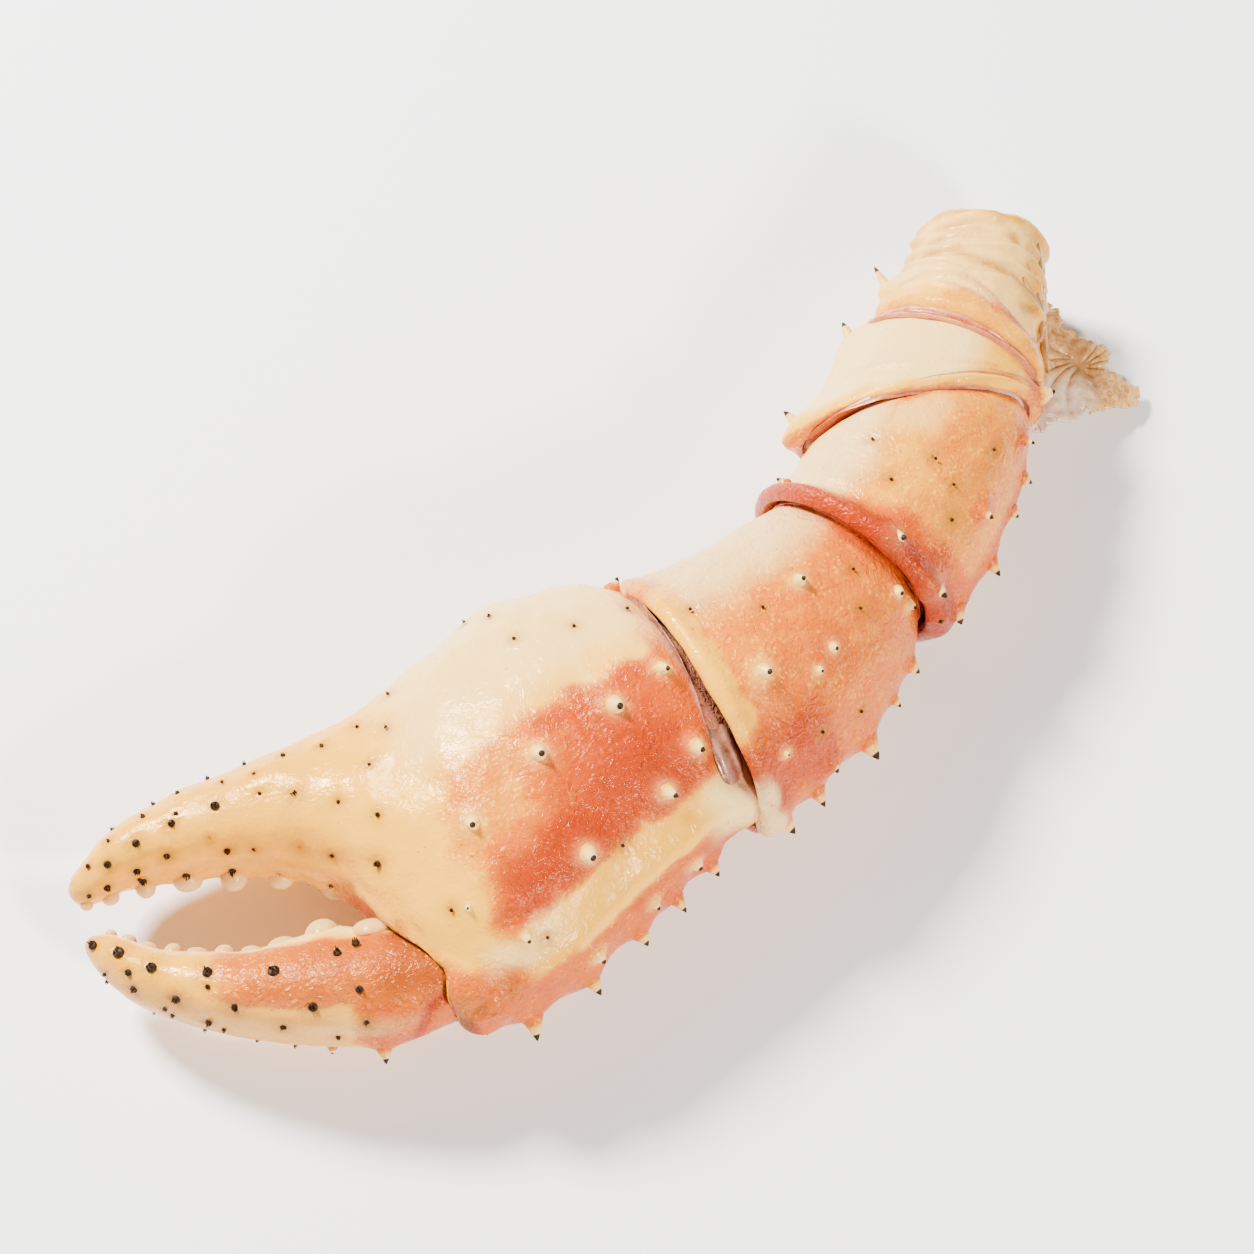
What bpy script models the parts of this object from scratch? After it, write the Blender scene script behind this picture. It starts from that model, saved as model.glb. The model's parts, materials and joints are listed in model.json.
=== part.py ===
"""Cooked king crab claw with its arm, lying on the inner face of its palm. Metres, +Z up.

The claw is a chain of shell segments. Each is a loft of rounded sections along its own axis. The
narrow root of a segment sits in the open rim of the one before it, and a sleeve of soft membrane
fills the joint between them.
"""

import math
from dataclasses import dataclass

import bmesh
import bpy
from mathutils import Matrix, Vector

# Driving dimensions.
CLAW_LENGTH = 0.1267  # wrist to the tip of the fixed finger
PALM_WIDTH = 0.080
PALM_DEPTH = 0.0495
FINGER_LENGTH = 0.0745  # hinge to the tip of the movable finger
FINGER_WIDTH = 0.0245
FINGER_DEPTH = 0.024
ARM_WIDTH = 0.056  # the wrist segment at its widest
ARM_DEPTH = 0.042  # the elbow segment at its deepest

# Where the cut end of the arm lies, so that the whole claw is centred on the origin.
ARM_END = Vector((0.0753, 0.0894, 0.0165))

# Fineness of the lofts.
RING_POINTS = 16
RING_SPACING = 0.005
ROOT_STEP = 0.002
SOCKET_STEPS = 16

# Joints: the membrane's thickness, and the air on each side of it.
MEMBRANE = 0.0020
GAP = 0.0003

TOOTH_PROUD = 0.1  # share of a tooth's radius that its centre stands out of the shell

# The torn flap of membrane beside the cut end, and the flesh inside that end.
FLAP_PLACE = ARM_END + Vector((0.0195, -0.0245, -0.0075))
FLAP_ROOT = 0.0068  # from its middle to the arm
FLAP_REACH = 0.0135  # from its middle away from the arm
FLAP_LENGTH = 0.038
FLAP_THICKNESS = 0.0022
FLAP_DROOP = -0.42  # fall for each metre away from the arm
FLAP_CUP = 0.0010  # how far its rim stands above its middle
FLAP_TEARS = 5
FLAP_RAGGED = 0.12  # how far its edge runs in and out, as a share
FLAP_FRAYS = 11
FLAP_FRAYED = 0.06
FLAP_CREASE = 0.0012
FLAP_ROUNDS = 4
FLAP_SPOKES = 26
SHELL_WALL = 0.0016
FLESH_SUNK = 0.0012  # how far the stump's edge lies inside the rim
FLESH_DOME = ((1.0, 0.0), (0.3, 0.0009), (-1.0, 0.0039), (-1.8, 0.0087))  # share of sunk, inset
POCKET_DEPTH = 0.0065

UNDERGROUND = -0.01  # cutters may reach this low, so that they cut right through the flat underside

SPINE_SIDES = 6
SPINE_SUNK = 0.0016  # how deep a spine's foot goes into the shell
SPINE_TIP_RADIUS = 0.0005
SPINE_THIN = 0.0010  # foot radius of the smallest spine
SPINE_FLARE = 0.42  # growth of the foot radius with height

# The hinge of the movable finger in the palm's own axes, in shares of its length and width.
HINGE_ALONG = 0.475
HINGE_OUT = 0.535
SEATED = 0.1  # knobs of a root as far along as this turn in the socket of the segment before


@dataclass(frozen=True)
class Section:
    """One rounded cross-section, in shares of its segment's length, width and depth.

    Slant turns the section about the vertical, in degrees: the inner side goes ahead.
    """

    along: float
    inner: float
    outer: float
    half_depth: float
    slant: float = 0.0


@dataclass(frozen=True)
class Spine:
    """A spine at a share of its segment's length and an angle round it, in degrees.

    Angle 0 is the outer margin, 90 the upper face and 180 the inner margin.
    """

    along: float
    angle: float
    height: float
    lean: float = 0.0  # how far the tip leans towards the fingers, in degrees


@dataclass(frozen=True)
class Knob:
    """A round knob: a tooth of a finger, or a ball or lobe of a joint."""

    along: float
    angle: float
    radius: float
    proud: float = 0.0  # how far its centre stands out of the shell


@dataclass(frozen=True)
class Segment:
    """A shell segment: its root joint, its axis, its sizes and its sections."""

    name: str
    joint: Vector
    heading: float
    turn: float
    drop: float
    length: float
    width: float
    depth: float
    sections: tuple[Section, ...]
    squareness: float = 1.0  # 1 for oval sections, less for boxier ones

    def axis(self, along: float) -> Matrix:
        """The frame at a share of the length: X towards the fingers, Y to the outer side, Z up."""
        inside = min(max(along, 0.0), 1.0)
        heading = math.radians(self.heading + self.turn * inside)
        chord = math.radians(self.heading + self.turn * inside / 2)
        run = inside * self.length
        place = self.joint + Vector((run * math.cos(chord), run * math.sin(chord), -self.drop * inside))
        beyond = (along - inside) * self.length
        place += Vector((math.cos(heading), math.sin(heading), 0)) * beyond
        return Matrix.Translation(place) @ Matrix.Rotation(heading, 4, "Z")

    def size_at(self, along: float, measure: str) -> float:
        """One measure of the sections at a share of the length, with no overshoot between them."""
        places = [section.along for section in self.sections]
        values = [getattr(section, measure) for section in self.sections]
        return monotone(places, values, along)

    def point(self, along: float, angle: float) -> Vector:
        """The point of the shell at a share of the length and an angle round it, in radians."""
        inner = self.size_at(along, "inner") * self.width
        outer = self.size_at(along, "outer") * self.width
        deep = self.size_at(along, "half_depth") * self.depth
        side, up = (
            math.copysign(abs(share) ** self.squareness, share)
            for share in (math.cos(angle), math.sin(angle))
        )
        across = (outer - inner) / 2 + (outer + inner) / 2 * side
        ahead = -across * math.tan(math.radians(self.size_at(along, "slant")))
        place = self.axis(along) @ Vector((ahead, across, deep * up))
        place.z = max(place.z, 0.0)
        return place

    def ring(self, along: float, grow: float = 0.0, lowest: float = 0.0) -> list[Vector]:
        """Points round the shell at a share of the length, moved out by grow."""
        turns = [2 * math.pi * (i + 0.5) / RING_POINTS for i in range(RING_POINTS)]
        made = [self.offset(along, angle, grow) for angle in turns]
        for place in made:
            place.z = max(place.z, lowest)
        return made

    def rings(self) -> list[list[Vector]]:
        """Rings over the whole shell."""
        first, last = self.sections[0].along, self.sections[-1].along
        count = round((last - first) * self.length / RING_SPACING)
        return [self.ring(first + (last - first) * k / count) for k in range(count + 1)]

    def root_rings(self, steps: int, grow: float, lowest: float = 0.0) -> list[list[Vector]]:
        """Rings round the root and on towards the tip, ROOT_STEP apart, all moved out by grow."""
        first, step = self.sections[0].along, ROOT_STEP / self.length
        places = [first - grow / self.length, *(first + step * k for k in range(steps + 1))]
        return [self.ring(along, grow, lowest) for along in places]

    def offset(self, along: float, angle: float, grow: float) -> Vector:
        """A point of the shell moved out by grow."""
        return self.point(along, angle) + self.normal(along, angle) * grow

    def normal(self, along: float, angle: float) -> Vector:
        """The outward direction of the shell at a share of the length and an angle in radians."""
        step, swing = 0.01, 0.05
        low, high = self.sections[0].along + step, self.sections[-1].along - step
        at = min(max(along, low), high)
        forward = self.point(at + step, angle) - self.point(at - step, angle)
        around = self.point(at, angle + swing) - self.point(at, angle - swing)
        return around.cross(forward).normalized()


def monotone(places: list[float], values: list[float], at: float) -> float:
    """A smooth curve through the values that never swings past them."""
    if at <= places[0]:
        return values[0]
    if at >= places[-1]:
        return values[-1]
    slopes = [(b - a) / (q - p) for a, b, p, q in zip(values, values[1:], places, places[1:])]
    tangents = [slopes[0]]
    for before, after in zip(slopes, slopes[1:]):
        tangents.append(2 * before * after / (before + after) if before * after > 0 else 0.0)
    tangents.append(slopes[-1])
    k = max(i for i, place in enumerate(places[:-1]) if place <= at)
    span = places[k + 1] - places[k]
    t = (at - places[k]) / span
    rise = values[k + 1] - values[k]
    ease = t * t * (3 - 2 * t)
    bend = tangents[k] * t * (1 - t) ** 2 - tangents[k + 1] * t * t * (1 - t)
    return values[k] + rise * ease + bend * span


# Sections, from the root in its socket to the rim or the tip.
COXA_SECTIONS = (
    Section(0.0, 0.34, 0.34, 0.40, 5),
    Section(0.4, 0.40, 0.40, 0.45, 0),
    Section(0.8, 0.49, 0.47, 0.49, -8),
    Section(1.0, 0.52, 0.51, 0.52, -11),
)
ISCHIUM_SECTIONS = (
    Section(-0.20, 0.16, 0.12, 0.20, 2),
    Section(-0.15, 0.28, 0.22, 0.30, 2),
    Section(-0.02, 0.37, 0.33, 0.39, 3),
    Section(0.20, 0.46, 0.41, 0.44, 8),
    Section(0.60, 0.50, 0.46, 0.48, 22),
    Section(1.0, 0.50, 0.47, 0.50, 35),
)
MERUS_SECTIONS = (
    Section(-0.26, 0.16, 0.14, 0.16, 30),
    Section(-0.16, 0.26, 0.25, 0.27, 31),
    Section(-0.04, 0.36, 0.36, 0.37, 32),
    Section(0.07, 0.44, 0.46, 0.45, 32),
    Section(0.30, 0.45, 0.53, 0.49, 22),
    Section(0.62, 0.44, 0.56, 0.49, 8),
    Section(0.90, 0.46, 0.54, 0.50, -1),
    Section(1.04, 0.49, 0.51, 0.52, -3),
)
CARPUS_SECTIONS = (
    Section(-0.13, 0.10, 0.10, 0.14, -4),
    Section(-0.10, 0.20, 0.20, 0.24, -4),
    Section(-0.03, 0.28, 0.28, 0.32, -4),
    Section(0.05, 0.33, 0.34, 0.38, -4),
    Section(0.15, 0.36, 0.39, 0.42, -5),
    Section(0.40, 0.41, 0.44, 0.46, -6),
    Section(0.70, 0.47, 0.47, 0.49, -7),
    Section(0.92, 0.50, 0.48, 0.50, -8),
    Section(0.99, 0.50, 0.49, 0.50, -8),
)
PROPODUS_SECTIONS = (
    Section(-0.05, 0.12, 0.12, 0.16, 12),
    Section(-0.035, 0.20, 0.18, 0.26, 12),
    Section(0.0, 0.30, 0.27, 0.38, 12),
    Section(0.03, 0.36, 0.32, 0.43, 11),
    Section(0.08, 0.40, 0.37, 0.47, 9),
    Section(0.24, 0.42, 0.52, 0.50, 3),
    Section(0.36, 0.355, 0.61, 0.49),
    Section(0.45, 0.29, 0.62, 0.43),
    Section(0.50, 0.255, 0.55, 0.39),
    Section(0.535, 0.24, 0.38, 0.35),
    Section(0.58, 0.225, 0.22, 0.30),
    Section(0.65, 0.21, 0.10, 0.27),
    Section(0.80, 0.185, 0.03, 0.21),
    Section(0.91, 0.14, 0.005, 0.165),
    Section(0.97, 0.09, 0.02, 0.11),
    Section(1.0, 0.04, 0.0, 0.05),
)
DACTYLUS_SECTIONS = (
    Section(-0.10, 0.24, -0.05, 0.16),
    Section(-0.07, 0.36, 0.04, 0.28),
    Section(0.0, 0.47, 0.15, 0.40),
    Section(0.13, 0.50, 0.37, 0.46),
    Section(0.24, 0.45, 0.47, 0.47),
    Section(0.42, 0.25, 0.54, 0.43),
    Section(0.60, 0.09, 0.53, 0.38),
    Section(0.80, 0.03, 0.43, 0.30),
    Section(0.91, 0.10, 0.28, 0.22),
    Section(0.97, 0.12, 0.16, 0.13),
    Section(1.0, 0.07, 0.05, 0.06),
)


def chain() -> dict[str, Segment]:
    """The segments in order from the cut end of the arm to the fingers, each set on the one before."""
    joint = ARM_END.copy()
    made = {}
    for name, heading, turn, drop, length, width, depth, sections in (
        ("coxa", 257.3, 0, -0.002, 0.0276, 0.0356, 0.034, COXA_SECTIONS),
        ("ischium", 244.1, 0, -0.0005, 0.0195, 0.0435, 0.0385, ISCHIUM_SECTIONS),
        ("merus", 248, -11, -0.0015, 0.0352, 0.0435, ARM_DEPTH, MERUS_SECTIONS),
        ("carpus", 238.4, -20, -0.0037, 0.0471, ARM_WIDTH, 0.0485, CARPUS_SECTIONS),
        ("propodus", 196.8, 0, 0.008, CLAW_LENGTH, PALM_WIDTH, PALM_DEPTH, PROPODUS_SECTIONS),
    ):
        made[name] = Segment(name, joint, heading, turn, drop, length, width, depth, sections)
        joint = made[name].axis(1.0).translation
    palm = made["propodus"]
    hinge = palm.axis(HINGE_ALONG) @ Vector((0, HINGE_OUT * PALM_WIDTH, 0))
    sizes = (FINGER_LENGTH, FINGER_WIDTH, FINGER_DEPTH)
    made["dactylus"] = Segment("dactylus", hinge, 169.5, 0, 0.006, *sizes, DACTYLUS_SECTIONS)
    return made


# Spines of each segment, row by row. The underside has none, so that the claw lies flat.
SPINES = {
    "coxa": (
        Spine(0.74, 168, 0.0050, -20),
        Spine(0.43, 30, 0.0014),
    ),
    "ischium": (
        Spine(0.30, 168, 0.0034, -10),
        Spine(0.92, 170, 0.0036, -10),
        Spine(0.55, 12, 0.0028),
    ),
    "merus": (
        Spine(0.93, 150, 0.0016, 20),
        Spine(0.94, 68, 0.0022, 20),
        Spine(0.96, 22, 0.0024, 20),
        Spine(0.60, 35, 0.0022, 20),
        Spine(0.24, 25, 0.0016, 10),
        Spine(0.28, 0, 0.0020, 10),
        Spine(0.45, 4, 0.0014, 20),
        Spine(0.66, 0, 0.0032, 30),
        Spine(0.90, -4, 0.0036, 30),
    ),
    "carpus": (
        Spine(0.42, 92, 0.0024, 15),
        Spine(0.50, 56, 0.0016, 15),
        Spine(0.63, 52, 0.0012, 15),
        Spine(0.79, 70, 0.0030, 15),
        Spine(0.15, 42, 0.0014, 10),
        Spine(0.72, 16, 0.0016, 20),
        Spine(0.22, 0, 0.0024, 10),
        Spine(0.50, -2, 0.0050, 15),
        Spine(0.74, -4, 0.0030, 15),
        Spine(0.92, -4, 0.0040, -5),
    ),
    "propodus": (
        Spine(0.035, 148, 0.0026, -10),
        Spine(0.06, 86, 0.0022, 15),
        Spine(0.14, 84, 0.0028, 15),
        Spine(0.26, 80, 0.0030, 15),
        Spine(0.40, 80, 0.0020, 15),
        Spine(0.03, 56, 0.0018, 15),
        Spine(0.12, 50, 0.0024, 15),
        Spine(0.25, 50, 0.0028, 15),
        Spine(0.11, 14, 0.0016, 10),
        Spine(0.18, 16, 0.0014, 10),
        Spine(0.27, 14, 0.0016, 10),
        Spine(0.085, -4, 0.0028, 5),
        Spine(0.145, -4, 0.0026, 5),
        Spine(0.205, -4, 0.0028, 5),
        Spine(0.285, -4, 0.0034, 5),
        Spine(0.375, -6, 0.0040, 5),
    ),
    "dactylus": (
        Spine(0.17, -4, 0.0034, -5),
        Spine(0.30, 4, 0.0010),
    ),
}


def teeth(angle: float, *rows: tuple[float, float]) -> list[Knob]:
    """Teeth along a biting edge, from (along, radius) rows."""
    return [Knob(along, angle, radius, TOOTH_PROUD * radius) for along, radius in rows]


def knobs() -> dict[str, list[Knob]]:
    """The teeth, the joint balls and the hinge lobes of each segment."""
    fixed_row = teeth(
        -3,
        (0.615, 0.0020),
        (0.68, 0.0025),
        (0.75, 0.0026),
        (0.82, 0.0023),
        (0.885, 0.0019),
        (0.94, 0.0016),
        (0.978, 0.0013),
    )
    molars = [Knob(0.28, 168, 0.0030), Knob(0.375, 174, 0.0044, 0.0006), Knob(0.475, 175, 0.0034)]
    moving_row = teeth(
        177,
        (0.555, 0.0021),
        (0.625, 0.0020),
        (0.695, 0.0019),
        (0.76, 0.0018),
        (0.825, 0.0016),
        (0.885, 0.0014),
        (0.935, 0.0012),
    )
    return {
        "propodus": [
            *fixed_row,
            Knob(0.015, 2, 0.0052, -0.0018),
            Knob(0.44, 26, 0.0060, -0.0032),
            Knob(0.405, 12, 0.0062, -0.0030),
            Knob(0.465, 44, 0.0070, -0.0048),
        ],
        "dactylus": [*molars, *moving_row],
        "ischium": [Knob(0.62, 8, 0.0036, -0.0010)],
        "carpus": [Knob(0.90, 172, 0.0050, -0.0024)],
    }


# Each joint: the membrane, the segment before, the segment after, and the sleeve's length in root steps.
JOINTS = (
    ("membrane_coxa", "coxa", "ischium", 2),
    ("membrane_ischium", "ischium", "merus", 3),
    ("membrane_elbow", "merus", "carpus", 4),
    ("membrane_wrist", "carpus", "propodus", 4),
    ("membrane_finger", "propodus", "dactylus", 5),
)


def new_material(name: str, colour: tuple[float, float, float], roughness: float) -> bpy.types.Material:
    """A plain Principled material."""
    material = bpy.data.materials.new(name)
    material.use_nodes = True
    shader = material.node_tree.nodes["Principled BSDF"]
    shader.inputs["Base Color"].default_value = (*colour, 1.0)
    shader.inputs["Roughness"].default_value = roughness
    shader.inputs["Metallic"].default_value = 0.0
    return material


def new_object(name: str, bm: bmesh.types.BMesh, home: bpy.types.Collection) -> bpy.types.Object:
    """An object in a collection, with the bmesh as its mesh, shaded smooth, its faces pointing out."""
    bmesh.ops.recalc_face_normals(bm, faces=bm.faces)
    mesh = bpy.data.meshes.new(name)
    bm.to_mesh(mesh)
    bm.free()
    mesh.shade_smooth()
    made = bpy.data.objects.new(name, mesh)
    home.objects.link(made)
    return made


def loft(rings: list[list[Vector]]) -> bmesh.types.BMesh:
    """A closed skin through rings of as many points each, with a cap on each end."""
    bm = bmesh.new()
    loops = [[bm.verts.new(place) for place in ring] for ring in rings]
    for near, far in zip(loops, loops[1:]):
        for i, corner in enumerate(near):
            bm.faces.new((corner, near[i - 1], far[i - 1], far[i]))
    bm.faces.new(loops[0])
    bm.faces.new(loops[-1])
    return bm


def helper(name: str, bm: bmesh.types.BMesh, home: bpy.types.Collection) -> bpy.types.Object:
    """A cutter or an addition for a Boolean, which isn't part of the claw."""
    made = new_object(name, bm, home)
    made.hide_render = True
    made.display_type = "WIRE"
    return made


def combine(target: bpy.types.Object, other: bpy.types.Object, operation: str) -> None:
    """Joins the other shape to the target, or cuts it away."""
    boolean = target.modifiers.new(f"{operation.lower()} {other.name}", "BOOLEAN")
    boolean.operation = operation
    boolean.object = other
    boolean.use_self = True


def spine_cones(segment: Segment) -> bmesh.types.BMesh:
    """The spines of a segment as cones, each with its foot inside the shell."""
    bm = bmesh.new()
    for spine in SPINES[segment.name]:
        angle = math.radians(spine.angle)
        normal = segment.normal(spine.along, angle)
        ahead = segment.axis(spine.along).to_3x3() @ Vector((1, 0, 0))
        way = (normal + ahead * math.tan(math.radians(spine.lean))).normalized()
        foot = segment.point(spine.along, angle) - normal * SPINE_SUNK
        tall = spine.height + SPINE_SUNK
        turn = way.to_track_quat("Z", "Y").to_matrix().to_4x4()
        bmesh.ops.create_cone(
            bm,
            cap_ends=True,
            segments=SPINE_SIDES,
            radius1=SPINE_THIN + SPINE_FLARE * spine.height,
            radius2=SPINE_TIP_RADIUS,
            depth=tall,
            matrix=Matrix.Translation(foot + way * tall / 2) @ turn,
        )
    return bm


def knob_balls(segment: Segment, choice: list[Knob], grow: float = 0.0) -> bmesh.types.BMesh:
    """The knobs of a segment as balls, each with its centre near the shell, swollen by grow."""
    bm = bmesh.new()
    for knob in choice:
        angle = math.radians(knob.angle)
        centre = segment.offset(knob.along, angle, knob.proud)
        bmesh.ops.create_icosphere(
            bm, subdivisions=2, radius=knob.radius + grow, matrix=Matrix.Translation(centre)
        )
    return bm


def torn_flap() -> bmesh.types.BMesh:
    """A ragged sheet round a puckered middle, drooping away from the arm, as an open surface."""
    bm = bmesh.new()
    middle = bm.verts.new(FLAP_PLACE)
    turns = [2 * math.pi * i / FLAP_SPOKES for i in range(FLAP_SPOKES)]
    inner = [middle] * FLAP_SPOKES
    for k in range(1, FLAP_ROUNDS + 1):
        share = k / FLAP_ROUNDS
        ring = []
        for turn in turns:
            tears = FLAP_RAGGED * math.sin(FLAP_TEARS * turn)
            frays = FLAP_FRAYED * math.sin(FLAP_FRAYS * turn + 1)
            ragged = 1 + share * (tears + frays)
            reach = FLAP_REACH if math.cos(turn) > 0 else FLAP_ROOT
            side = reach * share * ragged * math.cos(turn)
            lengthwise = FLAP_LENGTH / 2 * share * ragged * math.sin(turn)
            crease = FLAP_CREASE * share**2 * math.cos(FLAP_TEARS * turn)
            height = crease + FLAP_DROOP * side + FLAP_CUP * share
            ring.append(bm.verts.new(FLAP_PLACE + Vector((side, lengthwise, height))))
        for i in range(FLAP_SPOKES):
            corners = (inner[i - 1], ring[i - 1], ring[i], inner[i])
            bm.faces.new(dict.fromkeys(corners))
        inner = ring
    return bm


def clear_scene() -> None:
    """Empties the scene."""
    for item in list(bpy.data.objects):
        bpy.data.objects.remove(item, do_unlink=True)


def flesh_rings(coxa: Segment) -> list[list[Vector]]:
    """The stump of flesh in the cut end: a plug of the pocket's shape with a rounded face."""
    turns = [2 * math.pi * (i + 0.5) / RING_POINTS for i in range(RING_POINTS)]
    back = (POCKET_DEPTH - GAP) / coxa.length
    face = [(share * FLESH_SUNK / coxa.length, inset) for share, inset in FLESH_DOME]
    made = []
    for along, inset in [(back, 0.0), *face]:
        made.append([coxa.offset(along, angle, -SHELL_WALL - GAP - inset) for angle in turns])
    return made


def main() -> None:
    """Builds the claw."""
    clear_scene()
    claw = bpy.data.collections.new("crab claw")
    helpers = bpy.data.collections.new("helpers")
    for home in (claw, helpers):
        bpy.context.scene.collection.children.link(home)
    shell = new_material("shell", (0.80, 0.26, 0.08), 0.25)
    pale_shell = new_material("pale_shell", (0.85, 0.66, 0.44), 0.25)
    membrane = new_material("membrane", (0.42, 0.28, 0.26), 0.30)
    torn = new_material("torn_tissue", (0.62, 0.42, 0.22), 0.45)
    meat = new_material("flesh", (0.88, 0.72, 0.62), 0.40)

    segments = chain()
    built = {}
    for name, segment in segments.items():
        made = new_object(name, loft(segment.rings()), claw)
        made.data.materials.append(pale_shell if name in ("coxa", "dactylus") else shell)
        combine(made, helper(f"{name} spines", spine_cones(segment), helpers), "UNION")
        built[name] = made
    for name, choice in knobs().items():
        balls = helper(f"{name} knobs", knob_balls(segments[name], choice), helpers)
        combine(built[name], balls, "UNION")

    room = MEMBRANE + 2 * GAP
    for name, before, after, steps in JOINTS:
        root = segments[after]
        socket = loft(root.root_rings(SOCKET_STEPS, room, UNDERGROUND))
        combine(built[before], helper(f"{name} socket", socket, helpers), "DIFFERENCE")
        sleeve = new_object(name, loft(root.root_rings(steps, MEMBRANE + GAP)), claw)
        sleeve.data.materials.append(membrane)
        hollow = loft(root.root_rings(SOCKET_STEPS, GAP, UNDERGROUND))
        combine(sleeve, helper(f"{name} hollow", hollow, helpers), "DIFFERENCE")
        seated = [knob for knob in knobs().get(after, []) if knob.along < SEATED]
        if seated:
            seat = helper(f"{name} seat", knob_balls(root, seated, room), helpers)
            combine(built[before], seat, "DIFFERENCE")
            clearance = helper(f"{name} clearance", knob_balls(root, seated, GAP), helpers)
            combine(sleeve, clearance, "DIFFERENCE")

    coxa = segments["coxa"]
    depth = POCKET_DEPTH / coxa.length
    pocket = [coxa.ring(depth * share, -SHELL_WALL) for share in (-1, 0, 0.5, 1)]
    combine(built["coxa"], helper("coxa pocket", loft(pocket), helpers), "DIFFERENCE")
    flesh = new_object("flesh", loft(flesh_rings(coxa)), claw)
    flesh.data.materials.append(meat)

    flap = new_object("torn_flap", torn_flap(), claw)
    flap.data.materials.append(torn)
    thickness = flap.modifiers.new("thickness", "SOLIDIFY")
    thickness.thickness = FLAP_THICKNESS
    thickness.offset = 0.0


main()
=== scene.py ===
"""Cooked king crab claw with its arm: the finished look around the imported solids. Metres, +Z up.

Each shell segment is first shaped as a straight tube along X, ring by ring, then subdivided, given
its relief and its pigments, and only then bent into place along its own axis. Its spines, bristle
tufts and teeth are modelled once each and set on it. Soft membranes fill the joints.
"""

import json
import logging
import math
import sys
from dataclasses import dataclass
from enum import Enum

import bpy
import numpy as np
from mathutils import Matrix, Vector, noise

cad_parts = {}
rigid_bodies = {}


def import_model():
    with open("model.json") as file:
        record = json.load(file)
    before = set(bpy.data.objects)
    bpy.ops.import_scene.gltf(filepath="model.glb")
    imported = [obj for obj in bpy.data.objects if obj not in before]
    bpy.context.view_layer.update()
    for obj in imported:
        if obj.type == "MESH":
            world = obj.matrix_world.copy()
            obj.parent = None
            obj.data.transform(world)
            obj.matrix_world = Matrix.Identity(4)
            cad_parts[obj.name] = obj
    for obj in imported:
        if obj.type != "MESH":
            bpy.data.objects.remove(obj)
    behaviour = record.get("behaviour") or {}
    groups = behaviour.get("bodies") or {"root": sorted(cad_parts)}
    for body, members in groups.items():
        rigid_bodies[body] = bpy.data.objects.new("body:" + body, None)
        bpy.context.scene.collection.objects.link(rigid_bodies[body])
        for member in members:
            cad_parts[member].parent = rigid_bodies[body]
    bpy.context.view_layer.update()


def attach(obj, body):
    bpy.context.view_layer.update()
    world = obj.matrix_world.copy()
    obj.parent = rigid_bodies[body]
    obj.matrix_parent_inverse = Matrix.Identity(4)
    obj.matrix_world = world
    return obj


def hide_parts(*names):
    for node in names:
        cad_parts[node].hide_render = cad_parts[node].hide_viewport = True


LOG = logging.getLogger("crab claw")

# Driving dimensions, the same as the solids have.
CLAW_LENGTH = 0.1267
PALM_WIDTH = 0.080
PALM_DEPTH = 0.0495
FINGER_LENGTH = 0.0745
FINGER_WIDTH = 0.0245
FINGER_DEPTH = 0.024
ARM_WIDTH = 0.056
ARM_DEPTH = 0.042
ARM_END = (0.0753, 0.0894, 0.0165)
HINGE_ALONG = 0.475
HINGE_OUT = 0.535

RING_SPACING = 0.004
FEWEST_RINGS = 6
CONTACT_SOFTNESS = 0.0006  # over which the shell flattens on the surface that it lies on
HINGE_ROOM = 0.0013  # around the root of the movable finger
LOWEST_TISSUE = 0.0008  # how far the torn sheet stays above that surface


class Pigment(Enum):
    """The painted masks that the shell's material reads, by attribute name."""

    RED = "red"
    PALE = "pale"
    # Black tips, tufts and bristles, a little darkening of the strands, and painted shade in the cups, on the
    # hinge wall, in the painted-shade panels and in the valleys of the skin's folds.
    DARK = "dark"
    AMBER = "amber"
    MAUVE = "mauve"


class Point(Enum):
    """The kinds of things that stand on the shell."""

    SPINE = "spine"
    TUBERCLE = "tubercle"
    TOOTH = "tooth"
    HORN = "horn"
    TUFT = "tuft"


@dataclass(frozen=True)
class Section:
    """One rounded cross-section, in shares of its segment's length, width and depth."""

    along: float
    inner: float
    outer: float
    half_depth: float
    slant: float = 0.0


@dataclass(frozen=True)
class Stud:
    """A spine, tubercle, tooth or tuft at a place on the shell.

    Angle 0 is the outer margin, 90 the upper face and 180 the inner margin. Lean tips it
    towards the fingers, and sway turns it towards a greater angle, both in degrees.
    """

    along: float
    angle: float
    height: float
    radius: float
    lean: float = 0.0
    sway: float = 0.0


@dataclass(frozen=True)
class Panel:
    """A stretch of shell in which a pigment is mixed towards an amount."""

    start: float
    end: float
    middle: float
    half: float
    amount: float
    blur: float = 0.05
    blur_angle: float = 10.0


@dataclass(frozen=True)
class Swell:
    """A smooth lump, or with a negative height a dent."""

    along: float
    angle: float
    height: float
    spread: float


@dataclass(frozen=True)
class Crest:
    """A ridge or, with a negative height, a groove through places on the shell."""

    places: tuple[tuple[float, float], ...]
    height: float
    spread: float
    red: float = 0.0


@dataclass(frozen=True)
class Ring:
    """One ring of a straight tube: its place along X, its middle in Y and its half sizes."""

    x: float
    middle: float
    half: float
    deep: float


def smooth(share: np.ndarray) -> np.ndarray:
    """An even rise from 0 to 1 as the share goes from 0 to 1."""
    inside = np.clip(share, 0.0, 1.0)
    return inside * inside * (3 - 2 * inside)


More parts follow.
